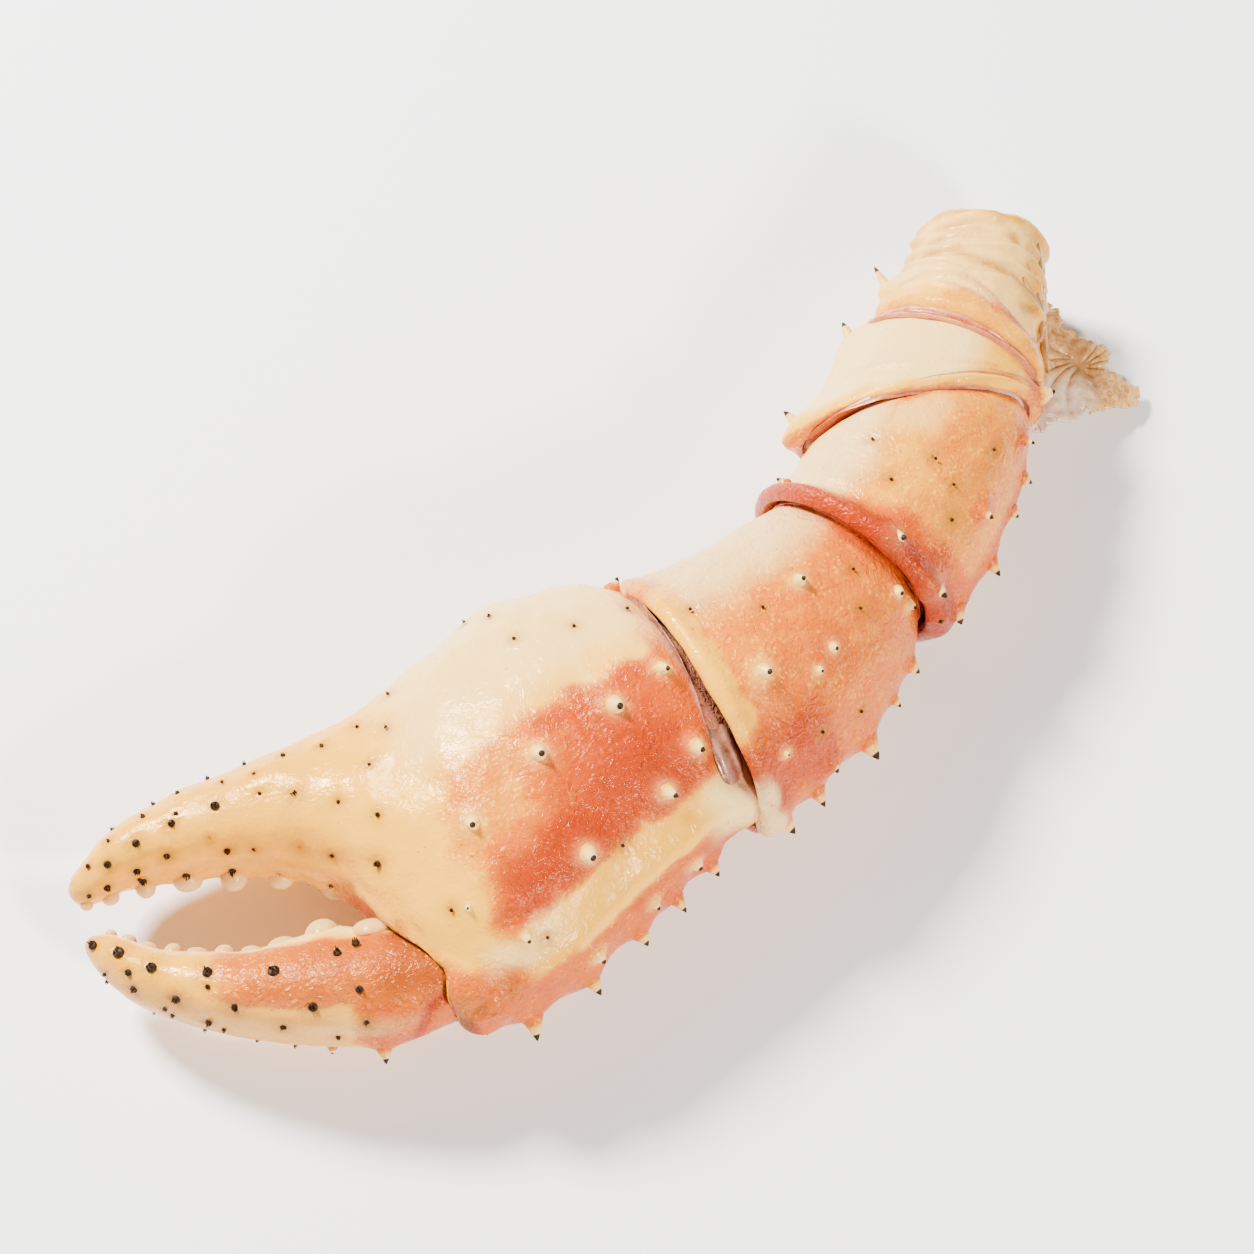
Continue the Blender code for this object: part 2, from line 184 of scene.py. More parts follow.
def monotone(places: np.ndarray, values: np.ndarray, at: np.ndarray) -> np.ndarray:
    """Reads a smooth curve that goes through the values and never swings past them.

    Args:
        places: where the values hold, rising.
        values: one value for each place.
        at: where to read the curve.

    Returns:
        The curve's values.
    """
    slopes = np.diff(values) / np.diff(places)
    product = slopes[:-1] * slopes[1:]
    total = slopes[:-1] + slopes[1:]
    inner = np.where(product > 0, 2 * product / np.where(product > 0, total, 1.0), 0.0)
    tangents = np.concatenate([slopes[:1], inner, slopes[-1:]])
    inside = np.clip(at, places[0], places[-1])
    k = np.clip(np.searchsorted(places, inside, side="right") - 1, 0, len(slopes) - 1)
    span = places[k + 1] - places[k]
    t = (inside - places[k]) / span
    bend = tangents[k] * t * (1 - t) ** 2 - tangents[k + 1] * t * t * (1 - t)
    return values[k] + (values[k + 1] - values[k]) * smooth(t) + bend * span


def rumple(points: np.ndarray, size: float, seed: float) -> np.ndarray:
    """Seeded smooth noise of about the given size at each point, from -1 to 1."""
    scaled = points / size + seed
    return np.array([noise.noise(Vector(place)) for place in scaled])


def nearness(points: np.ndarray, centre: np.ndarray, spread: float) -> np.ndarray:
    """How near points are to a centre: 1 on it, and softly down to 0 over about three spreads."""
    gap = points - centre
    return np.exp(-(gap * gap).sum(1) / (2 * spread**2))


@dataclass(frozen=True)
class Segment:
    """A segment of the claw: its root joint, its axis, its sizes and its sections."""

    name: str
    joint: tuple[float, float, float]
    heading: float
    turn: float
    drop: float
    length: float
    width: float
    depth: float
    sections: tuple[Section, ...]

    def measure(self, along: np.ndarray, name: str) -> np.ndarray:
        """Reads one measure of the sections.

        Args:
            along: shares of the length.
            name: the measure's name.

        Returns:
            The measure there.
        """
        places = np.array([section.along for section in self.sections])
        values = np.array([getattr(section, name) for section in self.sections])
        return monotone(places, values, np.asarray(along, float))

    def oval(self, along: np.ndarray) -> tuple[np.ndarray, np.ndarray, np.ndarray]:
        """Reads the sections.

        Args:
            along: shares of the length.

        Returns:
            The middle, half width and half depth there.
        """
        inner = self.measure(along, "inner") * self.width
        outer = self.measure(along, "outer") * self.width
        return (outer - inner) / 2, (outer + inner) / 2, self.measure(along, "half_depth") * self.depth

    def ring(self, along: float, grow: float) -> Ring:
        """The straight tube's ring at a share of the length, grown by so much all round."""
        middle, half, deep = (float(value) for value in self.oval(np.array(along)))
        return Ring(along * self.length, middle, half + grow, deep + grow)

    def straight(self, along: np.ndarray, angle: np.ndarray) -> np.ndarray:
        """Finds points of the shell before it is bent.

        Args:
            along: shares of the length.
            angle: angles around the axis, in degrees.

        Returns:
            One point for each.
        """
        along, turn = np.broadcast_arrays(np.asarray(along, float), np.radians(angle))
        middle, half, deep = self.oval(along)
        sides = middle + half * np.cos(turn)
        return np.stack([along * self.length, sides, deep * np.sin(turn)], axis=-1)

    def places(self, points: np.ndarray) -> tuple[np.ndarray, np.ndarray]:
        """Undoes straight.

        Args:
            points: points of the straight shell.

        Returns:
            Their shares of the length, and their angles in degrees.
        """
        along = points[:, 0] / self.length
        middle, half, deep = self.oval(along)
        angle = np.arctan2(points[:, 2] / deep, (points[:, 1] - middle) / half)
        return along, np.degrees(angle)

    def bend(self, points: np.ndarray) -> np.ndarray:
        """Brings straight points to where the segment lies.

        Args:
            points: points of the straight shell.

        Returns:
            The same points, bent along the axis and flattened where they would sink.
        """
        along = points[:, 0] / self.length
        inside = np.clip(along, 0.0, 1.0)
        heading = np.radians(self.heading + self.turn * inside)
        chord = np.radians(self.heading + self.turn * inside / 2)
        slant = np.radians(self.measure(along, "slant"))
        ahead = (along - inside) * self.length - points[:, 1] * np.tan(slant)
        run = inside * self.length
        x = self.joint[0] + run * np.cos(chord) + ahead * np.cos(heading) - points[:, 1] * np.sin(heading)
        y = self.joint[1] + run * np.sin(chord) + ahead * np.sin(heading) + points[:, 1] * np.cos(heading)
        z = self.joint[2] - self.drop * inside + points[:, 2]
        lifted = (z + np.sqrt(z * z + CONTACT_SOFTNESS * CONTACT_SOFTNESS)) / 2
        return np.stack([x, y, np.where(z > 4 * CONTACT_SOFTNESS, z, lifted)], axis=-1)

    def surface(self, along: float, angle: float) -> Vector:
        """The point of the lying shell at a share of the length and an angle in degrees."""
        return Vector(self.bend(self.straight(np.array([along]), np.array([angle])))[0])

    def directions(self, along: float, angle: float) -> tuple[Vector, Vector, Vector]:
        """Finds which way the shell runs at a place.

        Args:
            along: the share of the length.
            angle: the angle around the axis, in degrees.

        Returns:
            Outward, towards the fingers, and towards a greater angle.
        """
        step, swing = 0.01, 2.0
        forward = self.surface(along + step, angle) - self.surface(along - step, angle)
        around = self.surface(along, angle + swing) - self.surface(along, angle - swing)
        forward.normalize()
        around.normalize()
        return around.cross(forward).normalized(), forward, around

    def end(self) -> tuple[float, float, float]:
        """Finds where the next segment's root joint lies.

        Returns:
            The joint.
        """
        chord = math.radians(self.heading + self.turn / 2)
        run = Vector((math.cos(chord), math.sin(chord), 0)) * self.length
        return tuple(Vector(self.joint) + run - Vector((0, 0, self.drop)))


def sections(*rows: tuple[float, ...]) -> tuple[Section, ...]:
    """Sections from plain (along, inner, outer, half depth[, slant]) rows."""
    return tuple(Section(*values) for values in rows)


COXA_SECTIONS = sections(
    (0.0, 0.34, 0.34, 0.40, 5),
    (0.4, 0.40, 0.40, 0.45, 0),
    (0.8, 0.49, 0.47, 0.49, -8),
    (1.0, 0.52, 0.51, 0.52, -11),
)
ISCHIUM_SECTIONS = sections(
    (-0.20, 0.16, 0.12, 0.20, 2),
    (-0.15, 0.28, 0.22, 0.30, 2),
    (-0.02, 0.37, 0.33, 0.39, 3),
    (0.20, 0.46, 0.41, 0.44, 8),
    (0.60, 0.50, 0.46, 0.48, 22),
    (1.0, 0.50, 0.47, 0.50, 35),
)
MERUS_SECTIONS = sections(
    (-0.26, 0.16, 0.14, 0.16, 30),
    (-0.16, 0.26, 0.25, 0.27, 31),
    (-0.04, 0.36, 0.36, 0.37, 32),
    (0.07, 0.44, 0.46, 0.45, 32),
    (0.30, 0.45, 0.53, 0.49, 22),
    (0.62, 0.44, 0.56, 0.49, 8),
    (0.90, 0.46, 0.54, 0.50, -1),
    (1.04, 0.49, 0.51, 0.52, -3),
)
CARPUS_SECTIONS = sections(
    (-0.13, 0.10, 0.10, 0.14, -4),
    (-0.10, 0.20, 0.20, 0.24, -4),
    (-0.03, 0.28, 0.28, 0.32, -4),
    (0.05, 0.33, 0.34, 0.38, -4),
    (0.15, 0.36, 0.39, 0.42, -5),
    (0.40, 0.41, 0.44, 0.46, -6),
    (0.70, 0.47, 0.47, 0.49, -7),
    (0.92, 0.50, 0.48, 0.50, -8),
    (0.99, 0.50, 0.49, 0.50, -8),
)
PROPODUS_SECTIONS = sections(
    (-0.05, 0.12, 0.12, 0.16, 12),
    (-0.035, 0.20, 0.18, 0.26, 12),
    (0.0, 0.30, 0.27, 0.38, 12),
    (0.03, 0.36, 0.32, 0.43, 11),
    (0.08, 0.40, 0.37, 0.47, 9),
    (0.24, 0.42, 0.52, 0.50, 3),
    (0.36, 0.355, 0.61, 0.49),
    (0.45, 0.29, 0.62, 0.43),
    (0.50, 0.255, 0.55, 0.39),
    (0.535, 0.24, 0.38, 0.35),
    (0.58, 0.225, 0.22, 0.30),
    (0.65, 0.21, 0.10, 0.27),
    (0.80, 0.185, 0.03, 0.21),
    (0.91, 0.14, 0.005, 0.165),
    (0.97, 0.09, 0.02, 0.11),
    (1.0, 0.04, 0.0, 0.05),
)
DACTYLUS_SECTIONS = sections(
    (-0.10, 0.24, -0.05, 0.16),
    (-0.07, 0.36, 0.04, 0.28),
    (0.0, 0.47, 0.15, 0.40),
    (0.13, 0.50, 0.37, 0.46),
    (0.24, 0.45, 0.47, 0.47),
    (0.42, 0.25, 0.54, 0.43),
    (0.60, 0.09, 0.53, 0.38),
    (0.80, 0.03, 0.43, 0.30),
    (0.91, 0.10, 0.28, 0.22),
    (0.97, 0.12, 0.16, 0.13),
    (1.0, 0.07, 0.05, 0.06),
)


def chain() -> dict[str, Segment]:
    """Lays out the segments from the cut end of the arm to the fingers, each set on the last.

    Returns:
        The segments by name.
    """
    joint = ARM_END
    made = {}
    for name, heading, turn, drop, length, width, depth, profile in (
        ("coxa", 257.3, 0, -0.002, 0.0276, 0.0356, 0.034, COXA_SECTIONS),
        ("ischium", 244.1, 0, -0.0005, 0.0195, 0.0435, 0.0385, ISCHIUM_SECTIONS),
        ("merus", 248, -11, -0.0015, 0.0352, 0.0435, ARM_DEPTH, MERUS_SECTIONS),
        ("carpus", 238.4, -20, -0.0037, 0.0471, ARM_WIDTH, 0.0485, CARPUS_SECTIONS),
        ("propodus", 196.8, 0, 0.008, CLAW_LENGTH, PALM_WIDTH, PALM_DEPTH, PROPODUS_SECTIONS),
    ):
        made[name] = Segment(name, joint, heading, turn, drop, length, width, depth, profile)
        joint = made[name].end()
    palm = made["propodus"]
    ahead = HINGE_ALONG * CLAW_LENGTH
    out = HINGE_OUT * PALM_WIDTH
    turn = math.radians(palm.heading)
    forward = Vector((math.cos(turn), math.sin(turn), 0))
    side = Vector((-math.sin(turn), math.cos(turn), 0))
    hinge = Vector(palm.joint) + forward * ahead + side * out
    hinge.z -= palm.drop * HINGE_ALONG
    sizes = (FINGER_LENGTH, FINGER_WIDTH, FINGER_DEPTH)
    made["dactylus"] = Segment("dactylus", tuple(hinge), 169.5, 0, 0.006, *sizes, DACTYLUS_SECTIONS)
    return made


# --------------------------------------------------------------------------------------------
# Modelling helpers


def deselect() -> None:
    """Deselects everything."""
    for other in bpy.context.view_layer.objects:
        other.select_set(False)
    bpy.context.view_layer.objects.active = None


def lone(made: bpy.types.Object) -> None:
    """Selects one object alone.

    Args:
        made: the object, which also becomes the active one.
    """
    deselect()
    made.select_set(True)
    bpy.context.view_layer.objects.active = made


def apply(made: bpy.types.Object, kind: str, **settings: object) -> None:
    """Adds a modifier with its settings and applies it.

    Args:
        made: the object that takes the modifier.
        kind: the modifier's type.
        settings: its settings by name.
    """
    lone(made)
    modifier = made.modifiers.new(kind.lower(), kind)
    for name, value in settings.items():
        setattr(modifier, name, value)
    bpy.ops.object.modifier_apply(modifier=modifier.name)


def subdivide(made: bpy.types.Object, levels: int) -> None:
    """Applies a Subdivision Surface to an object."""
    apply(made, "SUBSURF", levels=levels, render_levels=levels)


def vectors(layer: bpy.types.bpy_prop_collection, name: str) -> np.ndarray:
    """Reads a vector from each item of a mesh's layer.

    Args:
        layer: the items, such as the vertices.
        name: the vector's name.

    Returns:
        One row of three for each item.
    """
    flat = np.empty(len(layer) * 3, np.float32)
    layer.foreach_get(name, flat)
    return flat.reshape(-1, 3).astype(float)


def points_of(made: bpy.types.Object) -> np.ndarray:
    """The vertices of an object's mesh."""
    return vectors(made.data.vertices, "co")


def normals_of(made: bpy.types.Object) -> np.ndarray:
    """The vertex normals of an object's mesh."""
    return vectors(made.data.vertex_normals, "vector")


def set_points(made: bpy.types.Object, points: np.ndarray) -> None:
    """Moves the vertices of an object's mesh."""
    made.data.vertices.foreach_set("co", points.astype(np.float32).ravel())
    made.data.update()


def paint(made: bpy.types.Object, amounts: dict[Pigment, np.ndarray | float]) -> None:
    """Stores how much of each pigment there is at each vertex.

    Args:
        made: the object.
        amounts: one amount, or one for each vertex, by pigment. The rest get none.
    """
    for pigment in Pigment:
        layer = made.data.attributes.new(pigment.value, "FLOAT", "POINT")
        values = np.broadcast_to(np.asarray(amounts.get(pigment, 0.0), np.float32), len(layer.data))
        layer.data.foreach_set("value", np.ascontiguousarray(values))


def give(made: bpy.types.Object, finish: bpy.types.Material) -> None:
    """Gives a piece its only material."""
    made.data.materials.clear()
    made.data.materials.append(finish)


def join(target: bpy.types.Object, others: list[bpy.types.Object]) -> None:
    """Joins objects.

    Args:
        target: the object that is kept.
        others: the objects that go into it.
    """
    lone(target)
    for other in others:
        other.select_set(True)
    bpy.ops.object.join()


def face_out() -> None:
    """Turns the faces of the closed shape in edit mode outwards, and leaves edit mode."""
    bpy.ops.mesh.select_all(action="SELECT")
    bpy.ops.mesh.normals_make_consistent(inside=False)
    bpy.ops.object.mode_set(mode="OBJECT")


def tube(name: str, rings: list[Ring], sides: int) -> bpy.types.Object:
    """Extrudes a closed tube ring by ring along X.

    Args:
        name: the object's name.
        rings: the rings in order.
        sides: the number of corners of each ring.

    Returns:
        The new object, its faces outwards.
    """
    deselect()
    first = rings[0]
    bpy.ops.mesh.primitive_circle_add(
        vertices=sides,
        radius=1.0,
        fill_type="NGON",
        location=(first.x, first.middle, 0),
        rotation=(0, math.pi / 2, 0),
    )
    made = bpy.context.active_object
    made.name = name
    made.data.name = name
    bpy.ops.object.transform_apply(location=True, rotation=True, scale=True)
    bpy.ops.object.mode_set(mode="EDIT")
    bpy.ops.mesh.select_all(action="SELECT")
    centre = (first.x, first.middle, 0)
    bpy.ops.transform.resize(value=(1, first.half, first.deep), center_override=centre)
    for before, after in zip(rings, rings[1:]):
        shift = (after.x - before.x, after.middle - before.middle, 0)
        bpy.ops.mesh.extrude_region_move(TRANSFORM_OT_translate={"value": shift})
        ratio = (1, after.half / before.half, after.deep / before.deep)
        bpy.ops.transform.resize(value=ratio, center_override=(after.x, after.middle, 0))
    face_out()
    return made


# --------------------------------------------------------------------------------------------
# Node helpers and shared effects


Socket = bpy.types.NodeSocket


class Graph:
    """Adds and links nodes in a node tree."""

    def __init__(self, tree: bpy.types.NodeTree) -> None:
        """Keeps the tree."""
        self.tree = tree

    def feed(self, node: bpy.types.Node, inputs: dict) -> None:
        """Sets or links a node's inputs.

        Args:
            node: the node.
            inputs: values or sockets for its inputs, by name or number.
        """
        for name, value in inputs.items():
            if isinstance(value, Socket):
                self.tree.links.new(value, node.inputs[name])
            else:
                node.inputs[name].default_value = value

    def add(self, kind: str, inputs: dict, **settings: object) -> bpy.types.Node:
        """Adds a node.

        Args:
            kind: the node's type.
            inputs: values or sockets for its inputs, by name or number.
            settings: its other settings.

        Returns:
            The node.
        """
        made = self.tree.nodes.new(kind)
        for name, value in settings.items():
            setattr(made, name, value)
        self.feed(made, inputs)
        return made

    def math(self, operation: str, *terms: object, clamp: bool = False) -> Socket:
        """A Math node on numbers or sockets."""
        inputs = dict(enumerate(terms))
        return self.add("ShaderNodeMath", inputs, operation=operation, use_clamp=clamp).outputs[0]

    def mix(self, share: object, a: object, b: object) -> Socket:
        """Mixes two colours.

        Args:
            share: how much of the second there is.
            a: the first, as a socket or as red, green and blue.
            b: the second, in the same way.

        Returns:
            The mixed colour.
        """
        colours = (value if isinstance(value, Socket) else (*value, 1.0) for value in (a, b))
        inputs = dict(zip((0, 6, 7), (share, *colours)))
        return self.add("ShaderNodeMix", inputs, data_type="RGBA").outputs[2]

    def ramp(self, share: object, stops: tuple) -> Socket:
        """Adds a colour ramp.

        Args:
            share: where to read the ramp.
            stops: (place, colour) of each stop, rising.

        Returns:
            The colour.
        """
        made = self.add("ShaderNodeValToRGB", {0: share})
        elements = made.color_ramp.elements
        while len(elements) < len(stops):
            elements.new(0.5)
        for element, (place, colour) in zip(elements, stops):
            element.position = place
            element.color = (*colour, 1.0)
        return made.outputs[0]

    def span(
        self, value: object, low: float, high: float, to_low: float = 0.0, to_high: float = 1.0
    ) -> Socket:
        """Maps the range from low to high onto another, clamped and eased."""
        inputs = dict(enumerate((value, low, high, to_low, to_high)))
        return self.add("ShaderNodeMapRange", inputs, interpolation_type="SMOOTHSTEP").outputs[0]

    def noise(
        self, vector: object, size: float, detail: float = 3.0, rough: float = 0.55, warp: float = 0.0
    ) -> Socket:
        """A noise texture with features of about the given size in metres."""
        shape = {"Scale": 1 / size, "Detail": detail, "Roughness": rough, "Distortion": warp}
        return self.add("ShaderNodeTexNoise", {"Vector": vector, **shape}).outputs["Fac"]

    def cells(self, vector: object, size: float, jitter: float) -> Socket:
        """The distance to the nearest point of a Voronoi texture, in shares of its cell size."""
        inputs = {"Vector": vector, "Scale": 1 / size, "Randomness": jitter}
        return self.add("ShaderNodeTexVoronoi", inputs, feature="F1").outputs["Distance"]

    def mask(self, pigment: Pigment) -> Socket:
        """Reads a painted mask."""
        return self.add("ShaderNodeAttribute", {}, attribute_name=pigment.value).outputs["Fac"]

    def place(self) -> Socket:
        """Object coordinates."""
        return self.add("ShaderNodeTexCoord", {}).outputs["Object"]

    def bump(self, height: Socket, strength: float, distance: float) -> Socket:
        """The normal of a surface that stands by a height from 0 to 1 of a distance in metres."""
        inputs = {"Height": height, "Strength": strength, "Distance": distance}
        return self.add("ShaderNodeBump", inputs).outputs[0]


def new_material(name: str) -> tuple[bpy.types.Material, Graph, bpy.types.Node]:
    """Starts a material.

    Args:
        name: its name.

    Returns:
        The material, its graph and its shader.
    """
    made = bpy.data.materials.new(name)
    made.use_nodes = True
    return made, Graph(made.node_tree), made.node_tree.nodes["Principled BSDF"]


def new_group(name: str, ins: dict, outs: tuple) -> tuple[Graph, dict, bpy.types.Node]:
    """Starts a shader node group that reads a vector and a few numbers.

    Args:
        name: the group's name.
        ins: the default of each number that it takes besides the vector, by name.
        outs: the names of the numbers that it puts out.

    Returns:
        The group's graph, its input sockets by name, and its output node.
    """
    tree = bpy.data.node_groups.new(name, "ShaderNodeTree")
    tree.interface.new_socket("Vector", in_out="INPUT", socket_type="NodeSocketVector")
    for label, default in ins.items():
        made = tree.interface.new_socket(label, in_out="INPUT", socket_type="NodeSocketFloat")
        made.default_value = default
    for label in outs:
        tree.interface.new_socket(label, in_out="OUTPUT", socket_type="NodeSocketFloat")
    entry = tree.nodes.new("NodeGroupInput")
    sockets = {label: entry.outputs[label] for label in ("Vector", *ins)}
    return Graph(tree), sockets, tree.nodes.new("NodeGroupOutput")


def mottling_group() -> bpy.types.NodeTree:
    """Builds the blotches, flecks and fine grain of cooked shell.

    Returns:
        The group, whose outputs are masks from 0 to 1.
    """
    g, ins, out = new_group("mottling", {"Size": 1.0}, ("Blotch", "Fleck", "Grain"))
    spread = g.add("ShaderNodeCombineXYZ", dict.fromkeys((0, 1, 2), ins["Size"]))
    scaled = g.add("ShaderNodeVectorMath", {0: ins["Vector"], 1: spread.outputs[0]}, operation="DIVIDE")
    vector = scaled.outputs[0]
    broad = g.noise(vector, 0.013, 3.0, 0.55, 0.6)
    middle = g.noise(vector, 0.0035, 3.0, 0.6, 0.3)
    blotch = g.math("MULTIPLY_ADD", middle, 0.45, g.math("MULTIPLY", broad, 0.55))
    dots = g.cells(vector, 0.0011, 0.9)
    patchy = g.span(g.noise(vector, 0.004, 2.0), 0.42, 0.62)
    fleck = g.math("MULTIPLY", g.span(dots, 0.42, 0.18), patchy)
    grain = g.noise(vector, 0.00075, 3.0, 0.6)
    g.feed(out, {"Blotch": g.span(blotch, 0.36, 0.64), "Fleck": fleck, "Grain": grain})
    return g.tree


def pores_group() -> bpy.types.NodeTree:
    """Builds fine pores and wrinkles.

    Returns:
        The group, which puts out a mask of the pores' mouths, and the height of both.
    """
    g, ins, out = new_group("pores", {"Wrinkle": 0.5}, ("Mouth", "Height"))
    vector = ins["Vector"]
    holes = g.span(g.cells(vector, 0.0026, 1.0), 0.13, 0.05)
    some = g.span(g.noise(vector, 0.009, 2.0), 0.48, 0.58)
    mouth = g.math("MULTIPLY", holes, some)
    lumps = g.noise(vector, 0.0021, 2.0, 0.5, 1.5)
    skin = g.noise(vector, 0.0005, 2.0, 0.5)
    height = g.math("MULTIPLY", lumps, ins["Wrinkle"])
    height = g.math("MULTIPLY_ADD", skin, 0.16, height)
    height = g.math("MULTIPLY_ADD", mouth, -0.35, height)
    g.feed(out, {"Mouth": mouth, "Height": height})
    return g.tree


class Effects:
    """The shared node groups, each built once."""

    def __init__(self) -> None:
        """Builds the groups."""
        self.mottling = mottling_group()
        self.pores = pores_group()


@dataclass(frozen=True)
class ShellFinish:
    """Wet cooked shell: cream where the red mask is 0, through orange to deep red at 1."""

    cream: tuple = (0.97, 0.44, 0.010)
    salmon: tuple = (0.68, 0.130, 0.0)
    orange: tuple = (0.46, 0.042, 0.0)
    red: tuple = (0.27, 0.012, 0.0)
    ivory: tuple = (0.98, 0.74, 0.30)
    amber: tuple = (0.38, 0.12, 0.002)
    mauve: tuple = (0.42, 0.17, 0.10)
    # Near black: the tips of spines and tubercles and the tufts, and also painted shade where the dark mask
    # is painted in cups, on the hinge wall and in the painted-shade panels.
    nib_and_shade: tuple = (0.012, 0.006, 0.004)
    wrinkle: float = 0.8

    def material(self, effects: Effects) -> bpy.types.Material:
        """Builds the shell's material.

        Args:
            effects: the shared node groups.

        Returns:
            The material, which reads all the pigments.
        """
        made, g, shader = new_material("cooked shell")
        where = g.place()
        mottle = g.add("ShaderNodeGroup", {}, node_tree=effects.mottling)
        g.feed(mottle, {"Vector": where})
        pores = g.add("ShaderNodeGroup", {}, node_tree=effects.pores)
        g.feed(pores, {"Vector": where, "Wrinkle": self.wrinkle})
        blotch, fleck, grain = (mottle.outputs[name] for name in ("Blotch", "Fleck", "Grain"))
        red, dark = g.mask(Pigment.RED), g.mask(Pigment.DARK)
        # Blotches show most where the shell is neither cream nor deep red.
        change = g.math("MULTIPLY", g.math("SUBTRACT", blotch, 0.5), g.span(red, 0.02, 0.30, 0.04, 0.10))
        level = g.math("ADD", red, change)
        level = g.math("ADD", level, g.math("MULTIPLY", g.math("SUBTRACT", grain, 0.5), 0.14))
        level = g.math("SUBTRACT", level, g.math("MULTIPLY", fleck, 0.16), clamp=True)
        places = (0.0, 0.22, 0.48, 0.72, 1.0)
        stops = tuple(zip(places, (self.cream, self.cream, self.salmon, self.orange, self.red)))
        tan = g.math("MULTIPLY", g.mask(Pigment.AMBER), g.span(grain, 0.25, 0.75, 0.6, 1.0), clamp=True)
        colour = g.ramp(level, stops)
        for share, tint in (
            (g.mask(Pigment.PALE), self.ivory),
            (tan, self.amber),
            (g.math("MULTIPLY", pores.outputs["Mouth"], 0.55), self.amber),
            (g.mask(Pigment.MAUVE), self.mauve),
            # The dark mask: black tips and tufts, and painted shade.
            (g.span(dark, 0.25, 0.75), self.nib_and_shade),
        ):
            colour = g.mix(share, colour, tint)
        film = g.span(g.noise(where, 0.010, 3.0), 0.35, 0.65, 0.12, 0.28)
        rough = g.math("ADD", film, g.math("MULTIPLY", grain, 0.08))
        height = g.math("MULTIPLY", pores.outputs["Height"], g.span(red, 0.15, 0.60, 0.40, 1.35))
        shading = {
            "Base Color": colour,
            "Roughness": g.math("MULTIPLY_ADD", dark, 0.35, rough),
            "Normal": g.bump(height, 0.7, 0.0008),
            "Subsurface Weight": 0.06,
            "Subsurface Radius": (1.0, 0.25, 0.05),
            "Subsurface Scale": 0.002,
            "Specular IOR Level": 0.38,
            "Specular Tint": (1.0, 0.66, 0.40, 1.0),
            "IOR": 1.45,
        }
        g.feed(shader, shading)
        return made


@dataclass(frozen=True)
class SkinFinish:
    """Soft wet skin of the joints, with painted shade in its folds, and fine lines."""

    name: str
    light: tuple
    dark: tuple
    line: tuple
    lines: float
    wet: float
    red: tuple = (0.55, 0.05, 0.012)
    pale: tuple = (0.86, 0.70, 0.58)
    amber: tuple = (0.42, 0.19, 0.045)
    # Near black, mixed in by the dark mask: painted shade in the valleys of the sleeves' folds, and a little
    # darkening of the strands.
    deep: tuple = (0.05, 0.022, 0.016)

    def material(self) -> bpy.types.Material:
        """Builds the skin's material.

        Returns:
            The material, which reads every pigment but mauve.
        """
        made, g, shader = new_material(self.name)
        where = g.place()
        soft = g.noise(where, 0.004, 4.0, 0.6, 0.8)
        veins = g.span(g.noise(where, 0.0022, 3.0, 0.6, 2.5), 0.52, 0.60)
        colour = g.mix(g.span(soft, 0.3, 0.7), self.dark, self.light)
        for share, tint in (
            (g.math("MULTIPLY", veins, self.lines), self.line),
            (g.mask(Pigment.RED), self.red),
            (g.mask(Pigment.PALE), self.pale),
            (g.mask(Pigment.AMBER), self.amber),
            # The dark mask mixes in the near-black colour, mostly as painted shade in the folds.
            (g.mask(Pigment.DARK), self.deep),
        ):
            colour = g.mix(share, colour, tint)
        height = g.math("ADD", soft, g.math("MULTIPLY", g.noise(where, 0.0007, 2.0), 0.3))
        shading = {
            "Base Color": colour,
            "Roughness": g.span(soft, 0.3, 0.7, 0.22, 0.45),
            "Normal": g.bump(height, 0.5, 0.0004),
            "Subsurface Weight": 0.25,
            "Subsurface Radius": (1.0, 0.4, 0.25),
            "Subsurface Scale": 0.003,
            "Specular Tint": (1.0, 0.70, 0.50, 1.0),
            "Coat Weight": self.wet,
            "Coat Roughness": 0.12,
        }
        g.feed(shader, shading)
        return made


@dataclass(frozen=True)
class FloorFinish:
    """A plain pale surface with a faint unevenness."""

    colour: tuple = (0.97, 0.97, 0.97)
    dip: float = 0.985  # how bright its darker patches are beside the rest

    def material(self) -> bpy.types.Material:
        """Builds the floor's material.

        Returns:
            The material.
        """
        made, g, shader = new_material("pale floor")
        darker = tuple(channel * self.dip for channel in self.colour)
        colour = g.mix(g.noise(g.place(), 0.2, 2.0), darker, self.colour)
        g.feed(shader, {"Base Color": colour, "Roughness": 0.75, "Specular IOR Level": 0.2})
        return made


# --------------------------------------------------------------------------------------------
# Studs: what stands on the shell


NONE = ((0.0, 0.0),)


